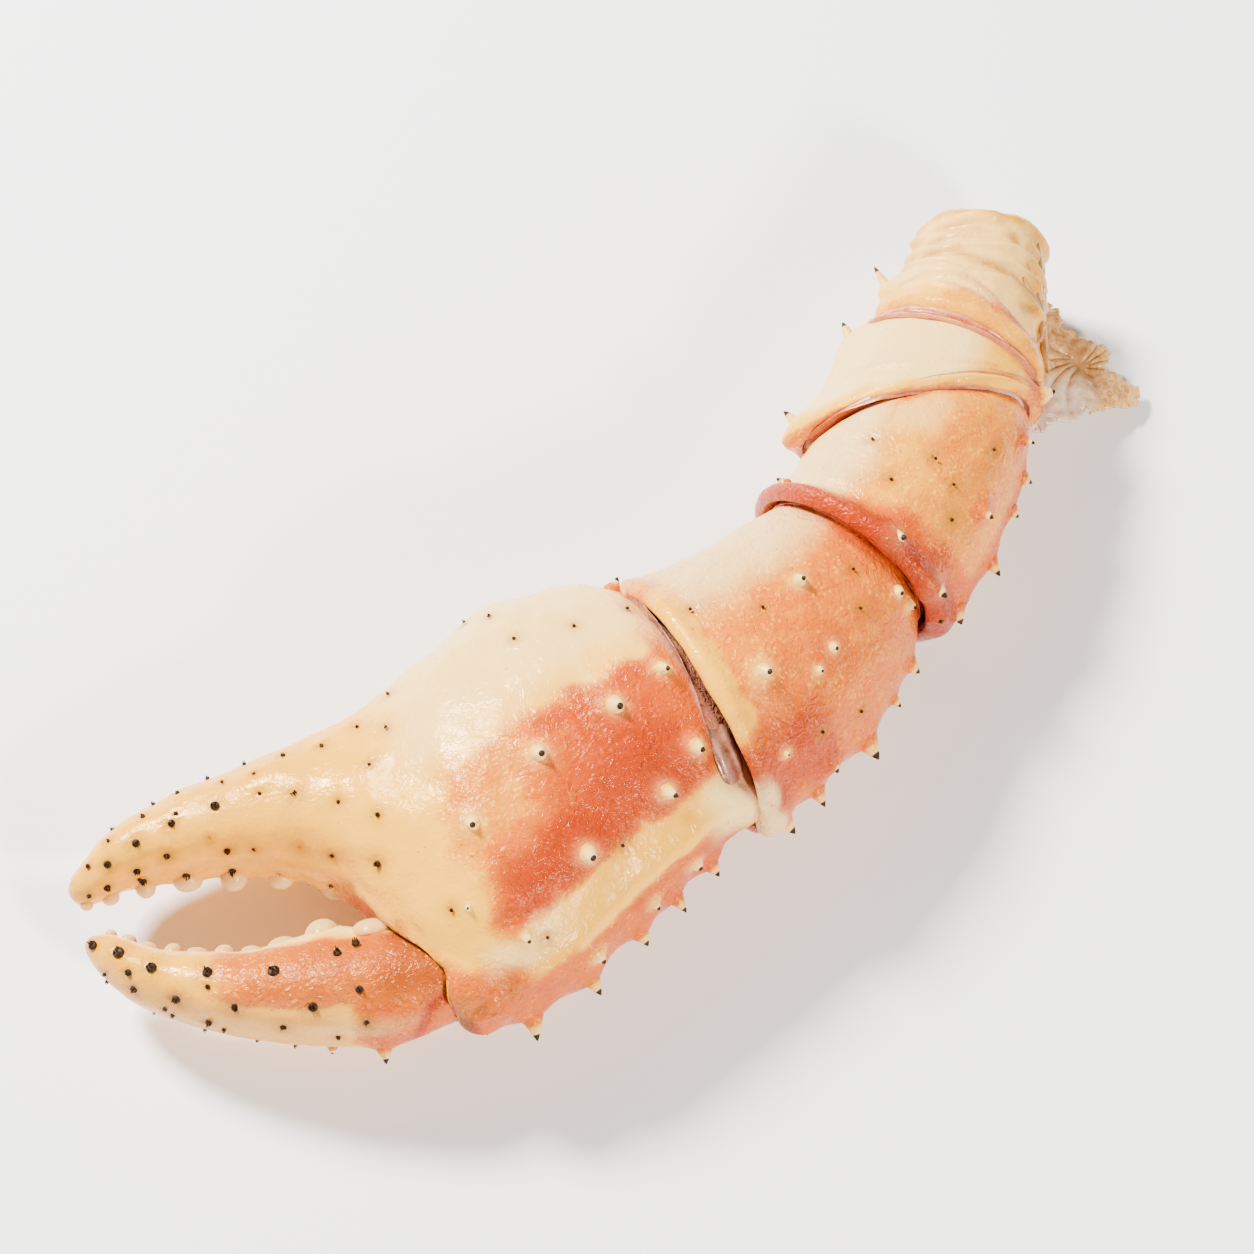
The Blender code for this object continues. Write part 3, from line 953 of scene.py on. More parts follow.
@dataclass(frozen=True)
class StudShape:
    """A stud's outline of (height, radius) in shares, and its pigments at (height, amount)."""

    outline: tuple[tuple[float, float], ...]
    sides: int
    red: tuple[tuple[float, float], ...] = NONE
    pale: tuple[tuple[float, float], ...] = NONE
    dark: tuple[tuple[float, float], ...] = NONE
    mauve: tuple[tuple[float, float], ...] = NONE
    nod: float = 0.0  # how far the tip leans over, as a share of the height

    def model(self, name: str) -> bpy.types.Object:
        """Models the stud once, standing on the origin, one unit high and wide.

        Args:
            name: the object's name.

        Returns:
            The master, whose mesh is copied.
        """
        deselect()
        low, wide = self.outline[0]
        bpy.ops.mesh.primitive_circle_add(
            vertices=self.sides, radius=wide, fill_type="NGON", location=(0, 0, low)
        )
        made = bpy.context.active_object
        made.name = name
        bpy.ops.object.transform_apply(location=True)
        bpy.ops.object.mode_set(mode="EDIT")
        bpy.ops.mesh.select_all(action="SELECT")
        for (low, wide), (high, narrow) in zip(self.outline, self.outline[1:]):
            bpy.ops.mesh.extrude_region_move(TRANSFORM_OT_translate={"value": (0, 0, high - low)})
            ratio = narrow / wide
            bpy.ops.transform.resize(value=(ratio, ratio, 1), center_override=(0, 0, high))
        face_out()
        subdivide(made, 1)
        points = points_of(made)
        height = points[:, 2]
        curves = {
            Pigment.RED: self.red,
            Pigment.PALE: self.pale,
            Pigment.DARK: self.dark,
            Pigment.MAUVE: self.mauve,
        }
        paint(made, {pigment: np.interp(height, *zip(*curve)) for pigment, curve in curves.items()})
        points[:, 0] += self.nod * np.clip(height, 0, None) ** 2
        set_points(made, points)
        made.data.shade_smooth()
        return made


STUD_SHAPES = {
    Point.SPINE: StudShape(
        outline=(
            (-0.35, 1.14), (0.08, 1.06), (0.20, 0.90), (0.32, 0.74), (0.45, 0.60), (0.58, 0.48),
            (0.70, 0.38), (0.80, 0.28), (0.90, 0.16), (1.0, 0.04),
        ),
        sides=12,
        red=((0.10, 0.60), (0.40, 0.50), (0.62, 0.24)),
        pale=((0.42, 0.0), (0.60, 0.40), (0.70, 0.55)),
        dark=((0.72, 0.0), (0.80, 1.0)),
        nod=0.16,
    ),
    Point.TUBERCLE: StudShape(
        outline=(
            (-0.35, 1.02), (0.06, 0.98), (0.18, 0.88), (0.32, 0.76), (0.47, 0.63), (0.62, 0.50),
            (0.72, 0.38), (0.80, 0.27), (0.90, 0.20), (1.0, 0.08),
        ),
        sides=12,
        red=((0.05, 0.34), (0.30, 0.16)),
        pale=((0.12, 0.0), (0.35, 0.40), (0.6, 0.70)),
        dark=((0.74, 0.0), (0.80, 1.0)),
        nod=0.10,
    ),
    Point.HORN: StudShape(
        outline=(
            (-0.30, 1.30), (0.04, 1.16), (0.14, 0.92), (0.26, 0.72), (0.40, 0.57), (0.55, 0.46),
            (0.68, 0.38), (0.79, 0.30), (0.90, 0.19), (1.0, 0.07),
        ),
        sides=12,
        red=((0.0, 0.12), (0.5, 0.08)),
        pale=((0.0, 0.45), (0.4, 0.55)),
        dark=((0.76, 0.0), (0.83, 1.0)),
        nod=0.14,
    ),
    Point.TOOTH: StudShape(
        outline=(
            (-0.5, 1.06), (0.0, 1.02), (0.25, 0.96), (0.50, 0.87), (0.72, 0.72), (0.88, 0.52),
            (0.97, 0.30), (1.0, 0.1),
        ),
        sides=14,
        pale=((0.0, 0.10), (0.35, 0.45), (0.8, 0.75)),
        mauve=((0.0, 0.42),),
    ),
    Point.TUFT: StudShape(
        outline=((-0.8, 0.85), (-0.1, 0.86), (0.12, 0.74), (0.26, 0.46), (0.32, 0.10)),
        sides=9,
        dark=((0.0, 1.0),),
    ),
}
# The bristles of a tuft: where each stands and how tall it is, in shares of the tuft's radius.
BRISTLES = ((0.0, 0.0, 1.5), (0.5, 0.0, 1.2), (-0.25, 0.43, 1.35), (-0.25, -0.43, 1.1), (0.2, 0.5, 0.9))


UNEVENNESS = 0.10  # how much wider or taller a stud is than its neighbours


class StudBox:
    """The studs' masters, from which each stud's mesh is copied."""

    def __init__(self) -> None:
        """Models the masters."""
        self.masters = {kind: shape.model(f"{kind.value} master") for kind, shape in STUD_SHAPES.items()}
        tuft = self.masters[Point.TUFT]
        bristles = []
        for x, y, tall in BRISTLES:
            deselect()
            bpy.ops.mesh.primitive_cone_add(
                vertices=5, radius1=0.24, radius2=0.05, depth=tall, location=(x, y, tall / 2)
            )
            bristle = bpy.context.active_object
            bpy.ops.transform.rotate(
                value=0.35 * x, orient_axis="Y", orient_type="GLOBAL", center_override=(x, y, 0)
            )
            bpy.ops.object.transform_apply(location=True, rotation=True, scale=True)
            paint(bristle, {Pigment.DARK: 1.0})
            bristles.append(bristle)
        join(tuft, bristles)
        self.count = 0

    def place(self, kind: Point, segment: Segment, stud: Stud) -> bpy.types.Object | None:
        """Copies a stud onto its place.

        Args:
            kind: what it is.
            segment: the segment that it stands on.
            stud: its place and size.

        Returns:
            The copy, or None where it would reach under the surface the claw lies on.
        """
        out, forward, around = segment.directions(stud.along, stud.angle)
        way = out + forward * math.tan(math.radians(stud.lean)) + around * math.tan(math.radians(stud.sway))
        way.normalize()
        foot = segment.surface(stud.along, stud.angle)
        if min(foot.z, (foot + way * stud.height).z) < stud.radius:
            return None
        self.count += 1
        uneven = 1 + UNEVENNESS * math.sin(2.4 * self.count)
        side = (forward - way * forward.dot(way)).normalized()
        across = way.cross(side)
        turn = Matrix((side, across, way)).transposed().to_4x4()
        spin = Matrix.Rotation(0.0 if kind in (Point.SPINE, Point.HORN) else 1.9 * self.count, 4, "Z")
        scale = Matrix.Diagonal((stud.radius * uneven, stud.radius * uneven, stud.height / uneven, 1))
        made = bpy.data.objects.new(f"{kind.value} {self.count}", self.masters[kind].data.copy())
        bpy.context.scene.collection.objects.link(made)
        made.data.transform(Matrix.Translation(foot) @ turn @ scale @ spin)
        return made

    def clear(self) -> None:
        """Removes the masters."""
        for master in self.masters.values():
            bpy.data.objects.remove(master, do_unlink=True)


# --------------------------------------------------------------------------------------------
# Shell segments


# The shell's uneven relief, as (size, share of its height, step of the seed).
LUMPS = ((0.011, 1.0, 0.0), (0.0045, 0.4, 7.0), (0.0019, 0.16, 9.0))
# How the shell rises to what stands on it, as (share of its height, reach in its radii).
FEET = {
    Point.SPINE: (0.34, 1.0),
    Point.HORN: (0.50, 1.35),
    Point.TUBERCLE: (0.34, 1.10),
    Point.TOOTH: (0.25, 0.85),
}
# The bulge of a collar and the groove behind it, as (distance from the end, spread, share of its height).
COLLAR = ((0.0012, 0.0013, 1.0), (0.0052, 0.0014, -0.45))
# Soft spots around studs, as (reach in their radii, least reach).
TUFT_PIT = (1.1, 0.0007)
TUFT_HALO = (1.9, 0.0013)
SPINE_RING = (1.1, 0.0010)
TUBERCLE_FOOT = (0.70, 0.0008)
PIT_DEPTH = 0.00025
HALO_AMBER = 0.78
SPINE_RED = 0.62  # at least, around a spine
TUBERCLE_RED = 0.32
TUBERCLE_PALE = 0.36
STRAY = 0.0016  # how far the edges of the panels wander along the shell
STRAY_ANGLE = 4.0  # and around it, in degrees
CUP_SHARE = 0.90  # of the half width, inside which the shell belongs to a cup
CUP_BLUR = 0.06
# Inside the cups: red shell, the mauve of the joint skin, and a dark amount that is painted shade in the
# recess.
CUP = {Pigment.RED: 0.85, Pigment.MAUVE: 0.55, Pigment.DARK: 0.42}
# The wall of the opening for the movable finger: deep red, and a dark amount that is painted shade.
HINGE_WALL = {Pigment.RED: 0.95, Pigment.DARK: 0.50}


@dataclass(frozen=True)
class Rim:
    """The lip of a segment's open end and the cup behind it, as (ahead, inset) steps."""

    steps: tuple[tuple[float, float], ...] = (
        (-0.0012, -0.0002),
        (0.0, 0.0),
        (0.0008, 0.0006),
        (0.0008, 0.0014),
        (0.0, 0.0022),
        (-0.0020, 0.0027),
        (-0.0055, 0.0036),
        (-0.0100, 0.0062),
        (-0.0130, 0.0105),
    )


@dataclass(frozen=True)
class Shell:
    """One shell segment: its shape, its relief, its pigments and its studs."""

    segment: Segment
    rim: Rim | None = None
    cut: Rim | None = None
    sides: int = 24
    levels: int = 3
    red: float = 0.1
    under_red: float = 0.25
    panels: tuple[Panel, ...] = ()
    pale: tuple[Panel, ...] = ()
    mauve: tuple[Panel, ...] = ()
    amber: tuple[Panel, ...] = ()
    # Panels of painted shade, put into the dark mask.
    painted_shade: tuple[Panel, ...] = ()
    lines: tuple[Crest, ...] = ()
    swells: tuple[Swell, ...] = ()
    crests: tuple[Crest, ...] = ()
    spines: tuple[Stud, ...] = ()
    horns: tuple[Stud, ...] = ()
    tubercles: tuple[Stud, ...] = ()
    teeth: tuple[Stud, ...] = ()
    tufts: tuple[Stud, ...] = ()
    lumps: float = 0.00035
    collar: float = 0.0
    collar_red: float = 0.0
    collar_width: float = 0.0035
    slot: str = "shell"
    seed: float = 1.0
    opening: Segment | None = None

    def rings(self) -> list[Ring]:
        """Lays out the rings of the straight tube, with the cups of its open ends.

        Returns:
            The rings in order.
        """
        segment = self.segment
        first, last = segment.sections[0].along, segment.sections[-1].along
        count = max(FEWEST_RINGS, round((last - first) * segment.length / RING_SPACING))
        shares = [first + (last - first) * k / count for k in range(count + 1)]
        steps = [(share, 0.0, 0.0) for share in shares]
        if self.rim:
            steps = steps[:-1] + [(last, ahead, inset) for ahead, inset in self.rim.steps]
        if self.cut:
            cup = [(first, -ahead, inset) for ahead, inset in self.cut.steps]
            steps = cup[::-1] + steps[1:]
        return [segment.ring(share + ahead / segment.length, -inset) for share, ahead, inset in steps]

    def stands(self) -> dict[Point, tuple[Stud, ...]]:
        """What stands on the shell, by kind."""
        rows = (self.spines, self.horns, self.tubercles, self.teeth, self.tufts)
        return dict(zip((Point.SPINE, Point.HORN, Point.TUBERCLE, Point.TOOTH, Point.TUFT), rows))

    def spots(self, studs: tuple[Stud, ...]) -> np.ndarray:
        """The straight points of studs."""
        return self.segment.straight([stud.along for stud in studs], [stud.angle for stud in studs])

    def window(self, panel: Panel, along: np.ndarray, angle: np.ndarray) -> np.ndarray:
        """Finds how far each vertex is inside a panel.

        Args:
            panel: the panel.
            along: each vertex's share of the length.
            angle: each vertex's angle in degrees.

        Returns:
            Shares from 0 to 1.
        """
        ahead = smooth((along - panel.start) / panel.blur + 0.5)
        behind = smooth((panel.end - along) / panel.blur + 0.5)
        off = np.abs((angle - panel.middle + 180) % 360 - 180)
        around = smooth((panel.half - off) / panel.blur_angle + 0.5)
        return ahead * behind * around

    def raised(self, start: np.ndarray | float, panels: tuple[Panel, ...], *where: np.ndarray) -> np.ndarray:
        """Raises a pigment to the amounts of its panels.

        Args:
            start: how much there is already.
            panels: the panels.
            where: each vertex's share of the length, and its angle.

        Returns:
            The amount at each vertex.
        """
        for panel in panels:
            start = np.maximum(start, panel.amount * self.window(panel, *where))
        return start

    def crest_share(self, crest: Crest, points: np.ndarray) -> np.ndarray:
        """Finds how near each vertex is to a crest.

        Args:
            crest: the crest.
            points: the straight vertices.

        Returns:
            Shares from 0 to 1.
        """
        steps = np.linspace(0, len(crest.places) - 1, 8 * (len(crest.places) - 1) + 1)
        known = np.arange(len(crest.places))
        alongs = np.interp(steps, known, [along for along, _ in crest.places])
        angles = np.interp(steps, known, [angle for _, angle in crest.places])
        line = self.segment.straight(alongs, angles)
        nearest = np.full(len(points), np.inf)
        for start, end in zip(line, line[1:]):
            run = end - start
            share = np.clip((points - start) @ run / (run @ run), 0, 1)
            gap = points - start - share[:, None] * run
            nearest = np.minimum(nearest, (gap * gap).sum(1))
        return np.exp(-nearest / (2 * crest.spread**2))

    def near(self, studs: tuple[Stud, ...], points: np.ndarray, reach: float, least: float) -> np.ndarray:
        """Draws a soft round spot around each stud, as wide as the stud.

        Args:
            studs: the studs.
            points: the straight vertices.
            reach: how far a spot goes, in the stud's radii.
            least: the least reach in metres.

        Returns:
            The height of the spots, as a share, at each vertex.
        """
        total = np.zeros(len(points))
        for stud, spot in zip(studs, self.spots(studs)):
            total = np.maximum(total, nearness(points, spot, max(stud.radius * reach, least)))
        return total

    def outside(self, points: np.ndarray) -> np.ndarray:
        """Tells the outer skin from the cups, which only a shell with an open rim has.

        Args:
            points: the straight vertices.

        Returns:
            1 on the outer skin and 0 inside the cups, for each vertex.
        """
        if self.rim is None and self.cut is None:
            return np.ones(len(points))
        along, _ = self.segment.places(points)
        middle, half, deep = self.segment.oval(along)
        share = np.hypot(points[:, 2] / deep, (points[:, 1] - middle) / half)
        return smooth((share - CUP_SHARE) / CUP_BLUR)

    def relieve(self, made: bpy.types.Object, outside: np.ndarray) -> None:
        """Moves the straight vertices to give the shell its lumps, crests and stud feet.

        Args:
            made: the straight shell.
            outside: 1 on the outer skin and 0 inside the cups, for each vertex.
        """
        points, normals = points_of(made), normals_of(made)
        lift = np.zeros(len(points))
        for size, share, step in LUMPS:
            lift += share * self.lumps * rumple(points, size, self.seed + step)
        for swell in self.swells:
            top = self.segment.straight(swell.along, swell.angle)
            lift += swell.height * nearness(points, top, swell.spread)
        for crest in self.crests:
            lift += crest.height * self.crest_share(crest, points)
        for kind, (share, reach) in FEET.items():
            studs = self.stands()[kind]
            for stud, spot in zip(studs, self.spots(studs)):
                lift += share * stud.height * nearness(points, spot, reach * stud.radius)
        lift -= PIT_DEPTH * self.near(self.tufts, points, *TUFT_PIT)
        if self.rim:
            back = self.segment.sections[-1].along * self.segment.length - points[:, 0]
            for place, spread, share in COLLAR:
                lift += share * self.collar * np.exp(-((back - place) ** 2) / (2 * spread**2))
        set_points(made, points + normals * (lift * outside)[:, None])

    def dress(self, made: bpy.types.Object, outside: np.ndarray) -> None:
        """Paints the pigments on the straight shell.

        Args:
            made: the straight shell.
            outside: 1 on the outer skin and 0 inside the cups, for each vertex.
        """
        points = points_of(made)
        along, angle = self.segment.places(points)
        stray = rumple(points, 0.006, self.seed + 3) + 0.5 * rumple(points, 0.0025, self.seed + 5)
        along = along + stray * STRAY / self.segment.length
        angle = angle + stray * STRAY_ANGLE
        inner = outside < 0.5
        under = smooth((-np.sin(np.radians(angle)) - 0.15) / 0.5)
        red = self.red + (self.under_red - self.red) * under
        for panel in self.panels:
            red = red + (panel.amount - red) * self.window(panel, along, angle)
        for crest in self.crests:
            if crest.red:
                red = red + (crest.red - red) * self.crest_share(crest, points)
        if self.rim and self.collar_red:
            back = (self.segment.sections[-1].along - along) * self.segment.length
            red = red + (self.collar_red - red) * smooth((self.collar_width - back) / 0.002) * outside
        ring = self.near(self.spines, points, *SPINE_RING)
        red = red + (np.maximum(red, SPINE_RED) - red) * ring
        foot = self.near(self.tubercles, points, *TUBERCLE_FOOT)
        red = red + (TUBERCLE_RED - red) * np.minimum(1.4 * foot, 1.0)
        halo = self.near(self.tufts, points, *TUFT_HALO)
        amber = self.raised(HALO_AMBER * halo, self.amber, along, angle)
        for line in self.lines:
            amber = np.maximum(amber, line.red * self.crest_share(line, points))
        amounts = {
            Pigment.RED: np.where(inner, CUP[Pigment.RED], red),
            Pigment.PALE: self.raised(TUBERCLE_PALE * foot, self.pale, along, angle) * outside,
            Pigment.AMBER: amber,
            Pigment.MAUVE: self.raised(inner * CUP[Pigment.MAUVE], self.mauve, along, angle),
            # Painted shade inside the cups and in the painted-shade panels.
            Pigment.DARK: self.raised(inner * CUP[Pigment.DARK], self.painted_shade, along, angle),
        }
        paint(made, amounts)

    def open_for(self, made: bpy.types.Object, root: Segment) -> None:
        """Cuts an opening into the lying shell in which the root of a finger turns.

        Args:
            made: the lying shell.
            root: the finger's segment.
        """
        first = root.sections[0].along
        rings = [root.ring(first - 0.03, 0.0002)]
        rings += [root.ring(first + 0.027 * k, HINGE_ROOM) for k in range(17)]
        cutter = tube("hinge cutter", rings, 32)
        subdivide(cutter, 1)
        # The opening's wall takes this paint, so it carries painted shade.
        paint(cutter, HINGE_WALL)
        set_points(cutter, root.bend(points_of(cutter)))
        apply(made, "BOOLEAN", operation="DIFFERENCE", object=cutter, solver="MANIFOLD")
        bpy.data.objects.remove(cutter, do_unlink=True)

    def build(self, box: StudBox, finish: bpy.types.Material) -> bpy.types.Object:
        """Makes the finished segment.

        Args:
            box: the studs' masters.
            finish: the shell's material.

        Returns:
            The finished object.
        """
        name = self.segment.name
        made = tube(f"{name}_shell", self.rings(), self.sides)
        subdivide(made, self.levels - (0))
        outside = self.outside(points_of(made))
        self.relieve(made, outside)
        self.dress(made, outside)
        set_points(made, self.segment.bend(points_of(made)))
        if self.opening:
            self.open_for(made, self.opening)
        made.data.shade_smooth()
        studs = [
            box.place(kind, self.segment, stud) for kind, row in self.stands().items() for stud in row
        ]
        join(made, [stud for stud in studs if stud])
        give(made, finish)
        LOG.info("%s: %d faces, %d studs", name, len(made.data.polygons), len(studs))
        return made


def settle(made: bpy.types.Object, node: str) -> None:
    """Lets a finished piece stand for a solid and ride with the claw.

    Args:
        made: the piece.
        node: the solid's node.
    """
    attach(made, "root")
    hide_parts(node)


def row(*studs: tuple[float, ...]) -> tuple[Stud, ...]:
    """Studs from plain (along, angle, height, radius[, lean[, sway]]) rows, sizes in millimetres."""
    return tuple(
        Stud(along, angle, tall * 0.001, wide * 0.001, *rest) for along, angle, tall, wide, *rest in studs
    )


def dots(radius: float, *places: tuple[float, float]) -> tuple[Stud, ...]:
    """Tufts of one radius in millimetres at (along, angle) places, each 0.7 times as tall."""
    return row(*((along, angle, 0.7 * radius, radius) for along, angle in places))


def palm(segment: Segment, opening: Segment) -> Shell:
    """Describes the palm with the fixed finger, open for the root of the other one.

    Args:
        segment: where it lies.
        opening: the other finger's segment.

    Returns:
        The shell to build.
    """
    return Shell(
        segment,
        opening=opening,
        sides=32,
        red=0.10,
        under_red=0.30,
        seed=1.0,
        panels=(
            Panel(-0.2, 0.40, 70, 27, 0.68, 0.07, 10),
            Panel(0.08, 0.20, 62, 14, 0.82, 0.08, 16),
            Panel(0.20, 0.34, 54, 9, 0.82, 0.08, 12),
            Panel(0.27, 0.44, 84, 16, 0.42, 0.10, 18),
            Panel(0.02, 0.40, -2, 24, 0.60, 0.06, 10),
            Panel(0.36, 0.50, 8, 26, 0.58, 0.06, 16),
            Panel(0.42, 0.53, 26, 12, 0.56, 0.05, 16),
            Panel(-0.2, 0.05, 110, 24, 0.50, 0.05, 16),
            Panel(0.50, 0.60, -24, 40, 0.60, 0.05, 20),
            Panel(0.02, 0.40, -70, 26, 0.50, 0.12, 26),
        ),
        pale=(
            Panel(0.00, 0.46, 138, 34, 0.55, 0.12, 24),
            Panel(-0.02, 0.07, 26, 14, 0.75, 0.05, 14),
            Panel(0.30, 0.42, 36, 6, 0.45, 0.06, 8),
        ),
        amber=(
            Panel(0.58, 0.94, 100, 60, 0.22, 0.10, 40),
            Panel(0.62, 0.92, 165, 18, 0.30, 0.10, 14),
            Panel(0.60, 0.96, 6, 18, 0.36, 0.06, 14),
            Panel(0.44, 0.60, 20, 8, 0.50, 0.05, 10),
        ),
        # Painted shadow under the palm's edge in the corner of the gape.
        painted_shade=(Panel(0.45, 0.575, 2, 15, 0.50, 0.035, 9),),
        mauve=(Panel(0.975, 1.1, 0, 200, 0.35, 0.07, 30), Panel(-0.3, 0.016, 74, 62, 0.80, 0.012, 16)),
        swells=(
            Swell(0.022, 16, 0.0030, 0.0036),
            Swell(0.012, 4, 0.0016, 0.0030),
            Swell(0.034, -8, -0.0016, 0.0030),
            Swell(0.475, 26, 0.0020, 0.0032),
            Swell(0.425, 16, 0.0018, 0.0032),
            Swell(0.455, 4, 0.0016, 0.0030),
            Swell(0.45, 21, -0.0012, 0.0012),
            Swell(0.44, 10, -0.0010, 0.0012),
            Swell(0.66, 12, 0.0010, 0.0060),
        ),
        crests=(
            Crest(((0.03, 28), (0.14, 28), (0.26, 26), (0.36, 22)), 0.0009, 0.0022),
            Crest(((0.05, 21), (0.16, 20), (0.28, 18)), -0.0003, 0.0012),
            Crest(((0.56, 62), (0.66, 60), (0.78, 58), (0.88, 60)), 0.0006, 0.0022),
            Crest(((0.58, 36), (0.68, 22), (0.80, 14), (0.90, 12)), -0.0004, 0.0016),
            Crest(((0.50, 36), (0.535, 30), (0.57, 22)), 0.0008, 0.0012, 0.25),
            Crest(((0.012, 30), (0.020, 42), (0.010, 54)), -0.0016, 0.0018, 0.55),
        ),
        spines=row(
            (0.085, -6, 3.6, 2.0, 5), (0.145, -6, 3.4, 2.0, 5), (0.205, -6, 3.7, 2.1, 5),
            (0.285, -6, 4.4, 2.4, 5), (0.375, -8, 4.8, 2.5, 5),
            (0.035, 148, 3.2, 1.7, -10), (0.16, -38, 2.6, 1.8), (0.27, -40, 2.8, 1.8),
            (0.44, -30, 3.0, 1.9),
        ),
        tubercles=row(
            (0.05, 90, 2.7, 1.9, -14, -30), (0.14, 85, 3.1, 2.1, -14, -30), (0.27, 85, 3.2, 2.2, -12, -30),
            (0.39, 80, 2.6, 2.0, -12, -28), (0.055, 57, 2.6, 1.8, -10, -26), (0.12, 50, 3.1, 2.0, -14, -28),
            (0.25, 50, 3.3, 2.1, -14, -28), (0.36, 40, 2.2, 1.4, -12, -24), (0.43, 58, 1.2, 0.95),
            (0.11, 10, 2.3, 1.7, 5, -8), (0.18, 11, 2.0, 1.5, 5, -8), (0.27, 9, 2.4, 1.8, 5, -8),
            (0.22, -80, 1.8, 1.5), (0.34, -110, 1.6, 1.4), (0.12, 200, 1.8, 1.4),
        ),
        teeth=row(
            (0.55, -10, 2.4, 3.0), (0.61, -16, 2.2, 2.5), (0.68, -17, 2.8, 3.0), (0.75, -16, 3.0, 3.1),
            (0.82, -16, 2.6, 2.9), (0.885, -16, 2.3, 2.4), (0.94, -12, 1.7, 1.8), (0.978, -6, 1.2, 1.3),
        ),
        tufts=(
            *dots(1.10, (0.63, 85), (0.75, 90), (0.82, 85), (0.88, 75), (0.68, -1), (0.75, 0), (0.82, 1)),
            *dots(0.92, (0.61, 0), (0.885, 2), (0.93, 65), (0.84, 42), (0.89, 28), (0.94, 22), (0.75, 34)),
            *dots(0.92, (0.64, 38), (0.54, 60)),
            *dots(0.62, (0.81, 97), (0.86, 120), (0.84, 148), (0.80, 140), (0.96, 95), (0.97, 28)),
            *dots(0.62, (0.71, 34), (0.60, 40), (0.52, 90), (0.63, 130), (0.69, 150), (0.75, 150)),
            *dots(0.62, (0.91, 145), (0.89, 8)),
            *dots(0.50, (0.57, 85), (0.51, 115), (0.51, 140), (0.47, 130), (0.45, 150), (0.68, 115)),
            *dots(0.50, (0.73, 120), (0.68, 90), (0.57, 130), (0.30, 160), (0.26, 145), (0.24, 125)),
            *dots(0.50, (0.14, 120), (0.04, 125), (0.20, 44), (0.455, 60), (0.53, 33), (0.33, 35)),
            *dots(0.50, (0.40, 22), (0.77, 55), (0.92, 110)),
            *dots(0.60, (0.70, -60), (0.80, -90), (0.88, -60), (0.76, -130), (0.64, -110), (0.86, 190)),
        ),
        lumps=0.00065,
    )


def finger(segment: Segment) -> Shell:
    """Describes the movable finger.

    Args:
        segment: where it lies.

    Returns:
        The shell to build.
    """
    return Shell(
        segment,
        sides=24,
        red=0.10,
        under_red=0.22,
        seed=2.0,
        slot="pale_shell",
        panels=(
            Panel(-0.3, 0.60, 98, 44, 0.64, 0.18, 14),
            Panel(-0.3, 0.24, 50, 50, 0.62, 0.07, 20),
            Panel(-0.3, 0.12, 0, 70, 0.60, 0.07, 24),
            Panel(-0.3, 0.20, 105, 38, 0.92, 0.08, 18),
            Panel(0.46, 0.64, 116, 26, 0.46, 0.14, 16),
        ),
        pale=(
            Panel(0.20, 0.98, 172, 24, 0.70, 0.08, 16),
            Panel(0.12, 0.36, 30, 8, 0.35, 0.20, 18),
            Panel(-0.04, 0.07, 150, 10, 0.70, 0.04, 12),
        ),
        amber=(Panel(0.35, 0.9, 60, 60, 0.12, 0.1, 40), Panel(-0.3, 0.60, 98, 44, 0.44, 0.18, 14)),
        # Painted shadow on the finger's root beside the palm's edge, in the corner of the gape.
        painted_shade=(Panel(-0.2, 0.06, 158, 26, 0.50, 0.06, 20),),
        # The second mauve panel greys the finger's outer side: partly its own grey-brown tone, partly painted
        # shade.
        mauve=(Panel(0.97, 1.2, 0, 200, 0.60, 0.05, 10), Panel(0.25, 0.95, 16, 44, 0.34, 0.10, 24)),
        swells=(
            Swell(0.355, 172, 0.0020, 0.0040),
            Swell(0.47, 172, 0.0010, 0.0035),
            Swell(0.30, 140, -0.0012, 0.0026),
            Swell(0.10, 10, 0.0012, 0.0040),
            Swell(0.06, 146, 0.0012, 0.0024),
        ),
        crests=(
            Crest(((0.16, 28), (0.32, 38), (0.50, 44), (0.62, 48)), 0.0005, 0.0018),
            Crest(((0.0, 60), (0.06, 40), (0.09, 0)), -0.0006, 0.0009, 0.9),
        ),
        spines=row((0.17, -8, 3.8, 2.2, -5), (0.31, -40, 2.2, 1.5)),
        teeth=row(
            (0.255, 164, 2.7, 4.0, 0, -6), (0.375, 170, 4.0, 4.6), (0.475, 172, 2.6, 3.3),
            (0.555, 174, 1.6, 2.5), (0.625, 175, 1.9, 2.4), (0.695, 176, 1.5, 2.4), (0.76, 176, 1.8, 2.2),
            (0.825, 177, 1.4, 2.1), (0.885, 178, 1.4, 1.7), (0.935, 178, 1.0, 1.4),
        ),
        tufts=(
            *dots(1.42, (0.47, 100), (0.64, 98), (0.79, 92), (0.89, 96)),
            *dots(1.15, (0.32, 115), (0.35, 55), (0.55, 50), (0.71, 45), (0.97, 85), (0.28, 126)),
            *dots(0.92, (0.85, 65), (0.83, 36), (0.21, 35), (0.24, 70), (0.62, 15), (0.42, 30)),
            *dots(0.60, (0.28, 15), (0.92, 25), (0.74, 18), (0.72, 8), (0.58, 5), (0.63, 75), (0.78, -25)),
            *dots(0.60, (0.64, -25), (0.50, -25), (0.40, -28), (0.92, -20), (0.55, -80), (0.70, -110)),
        ),
        lumps=0.00028,
    )


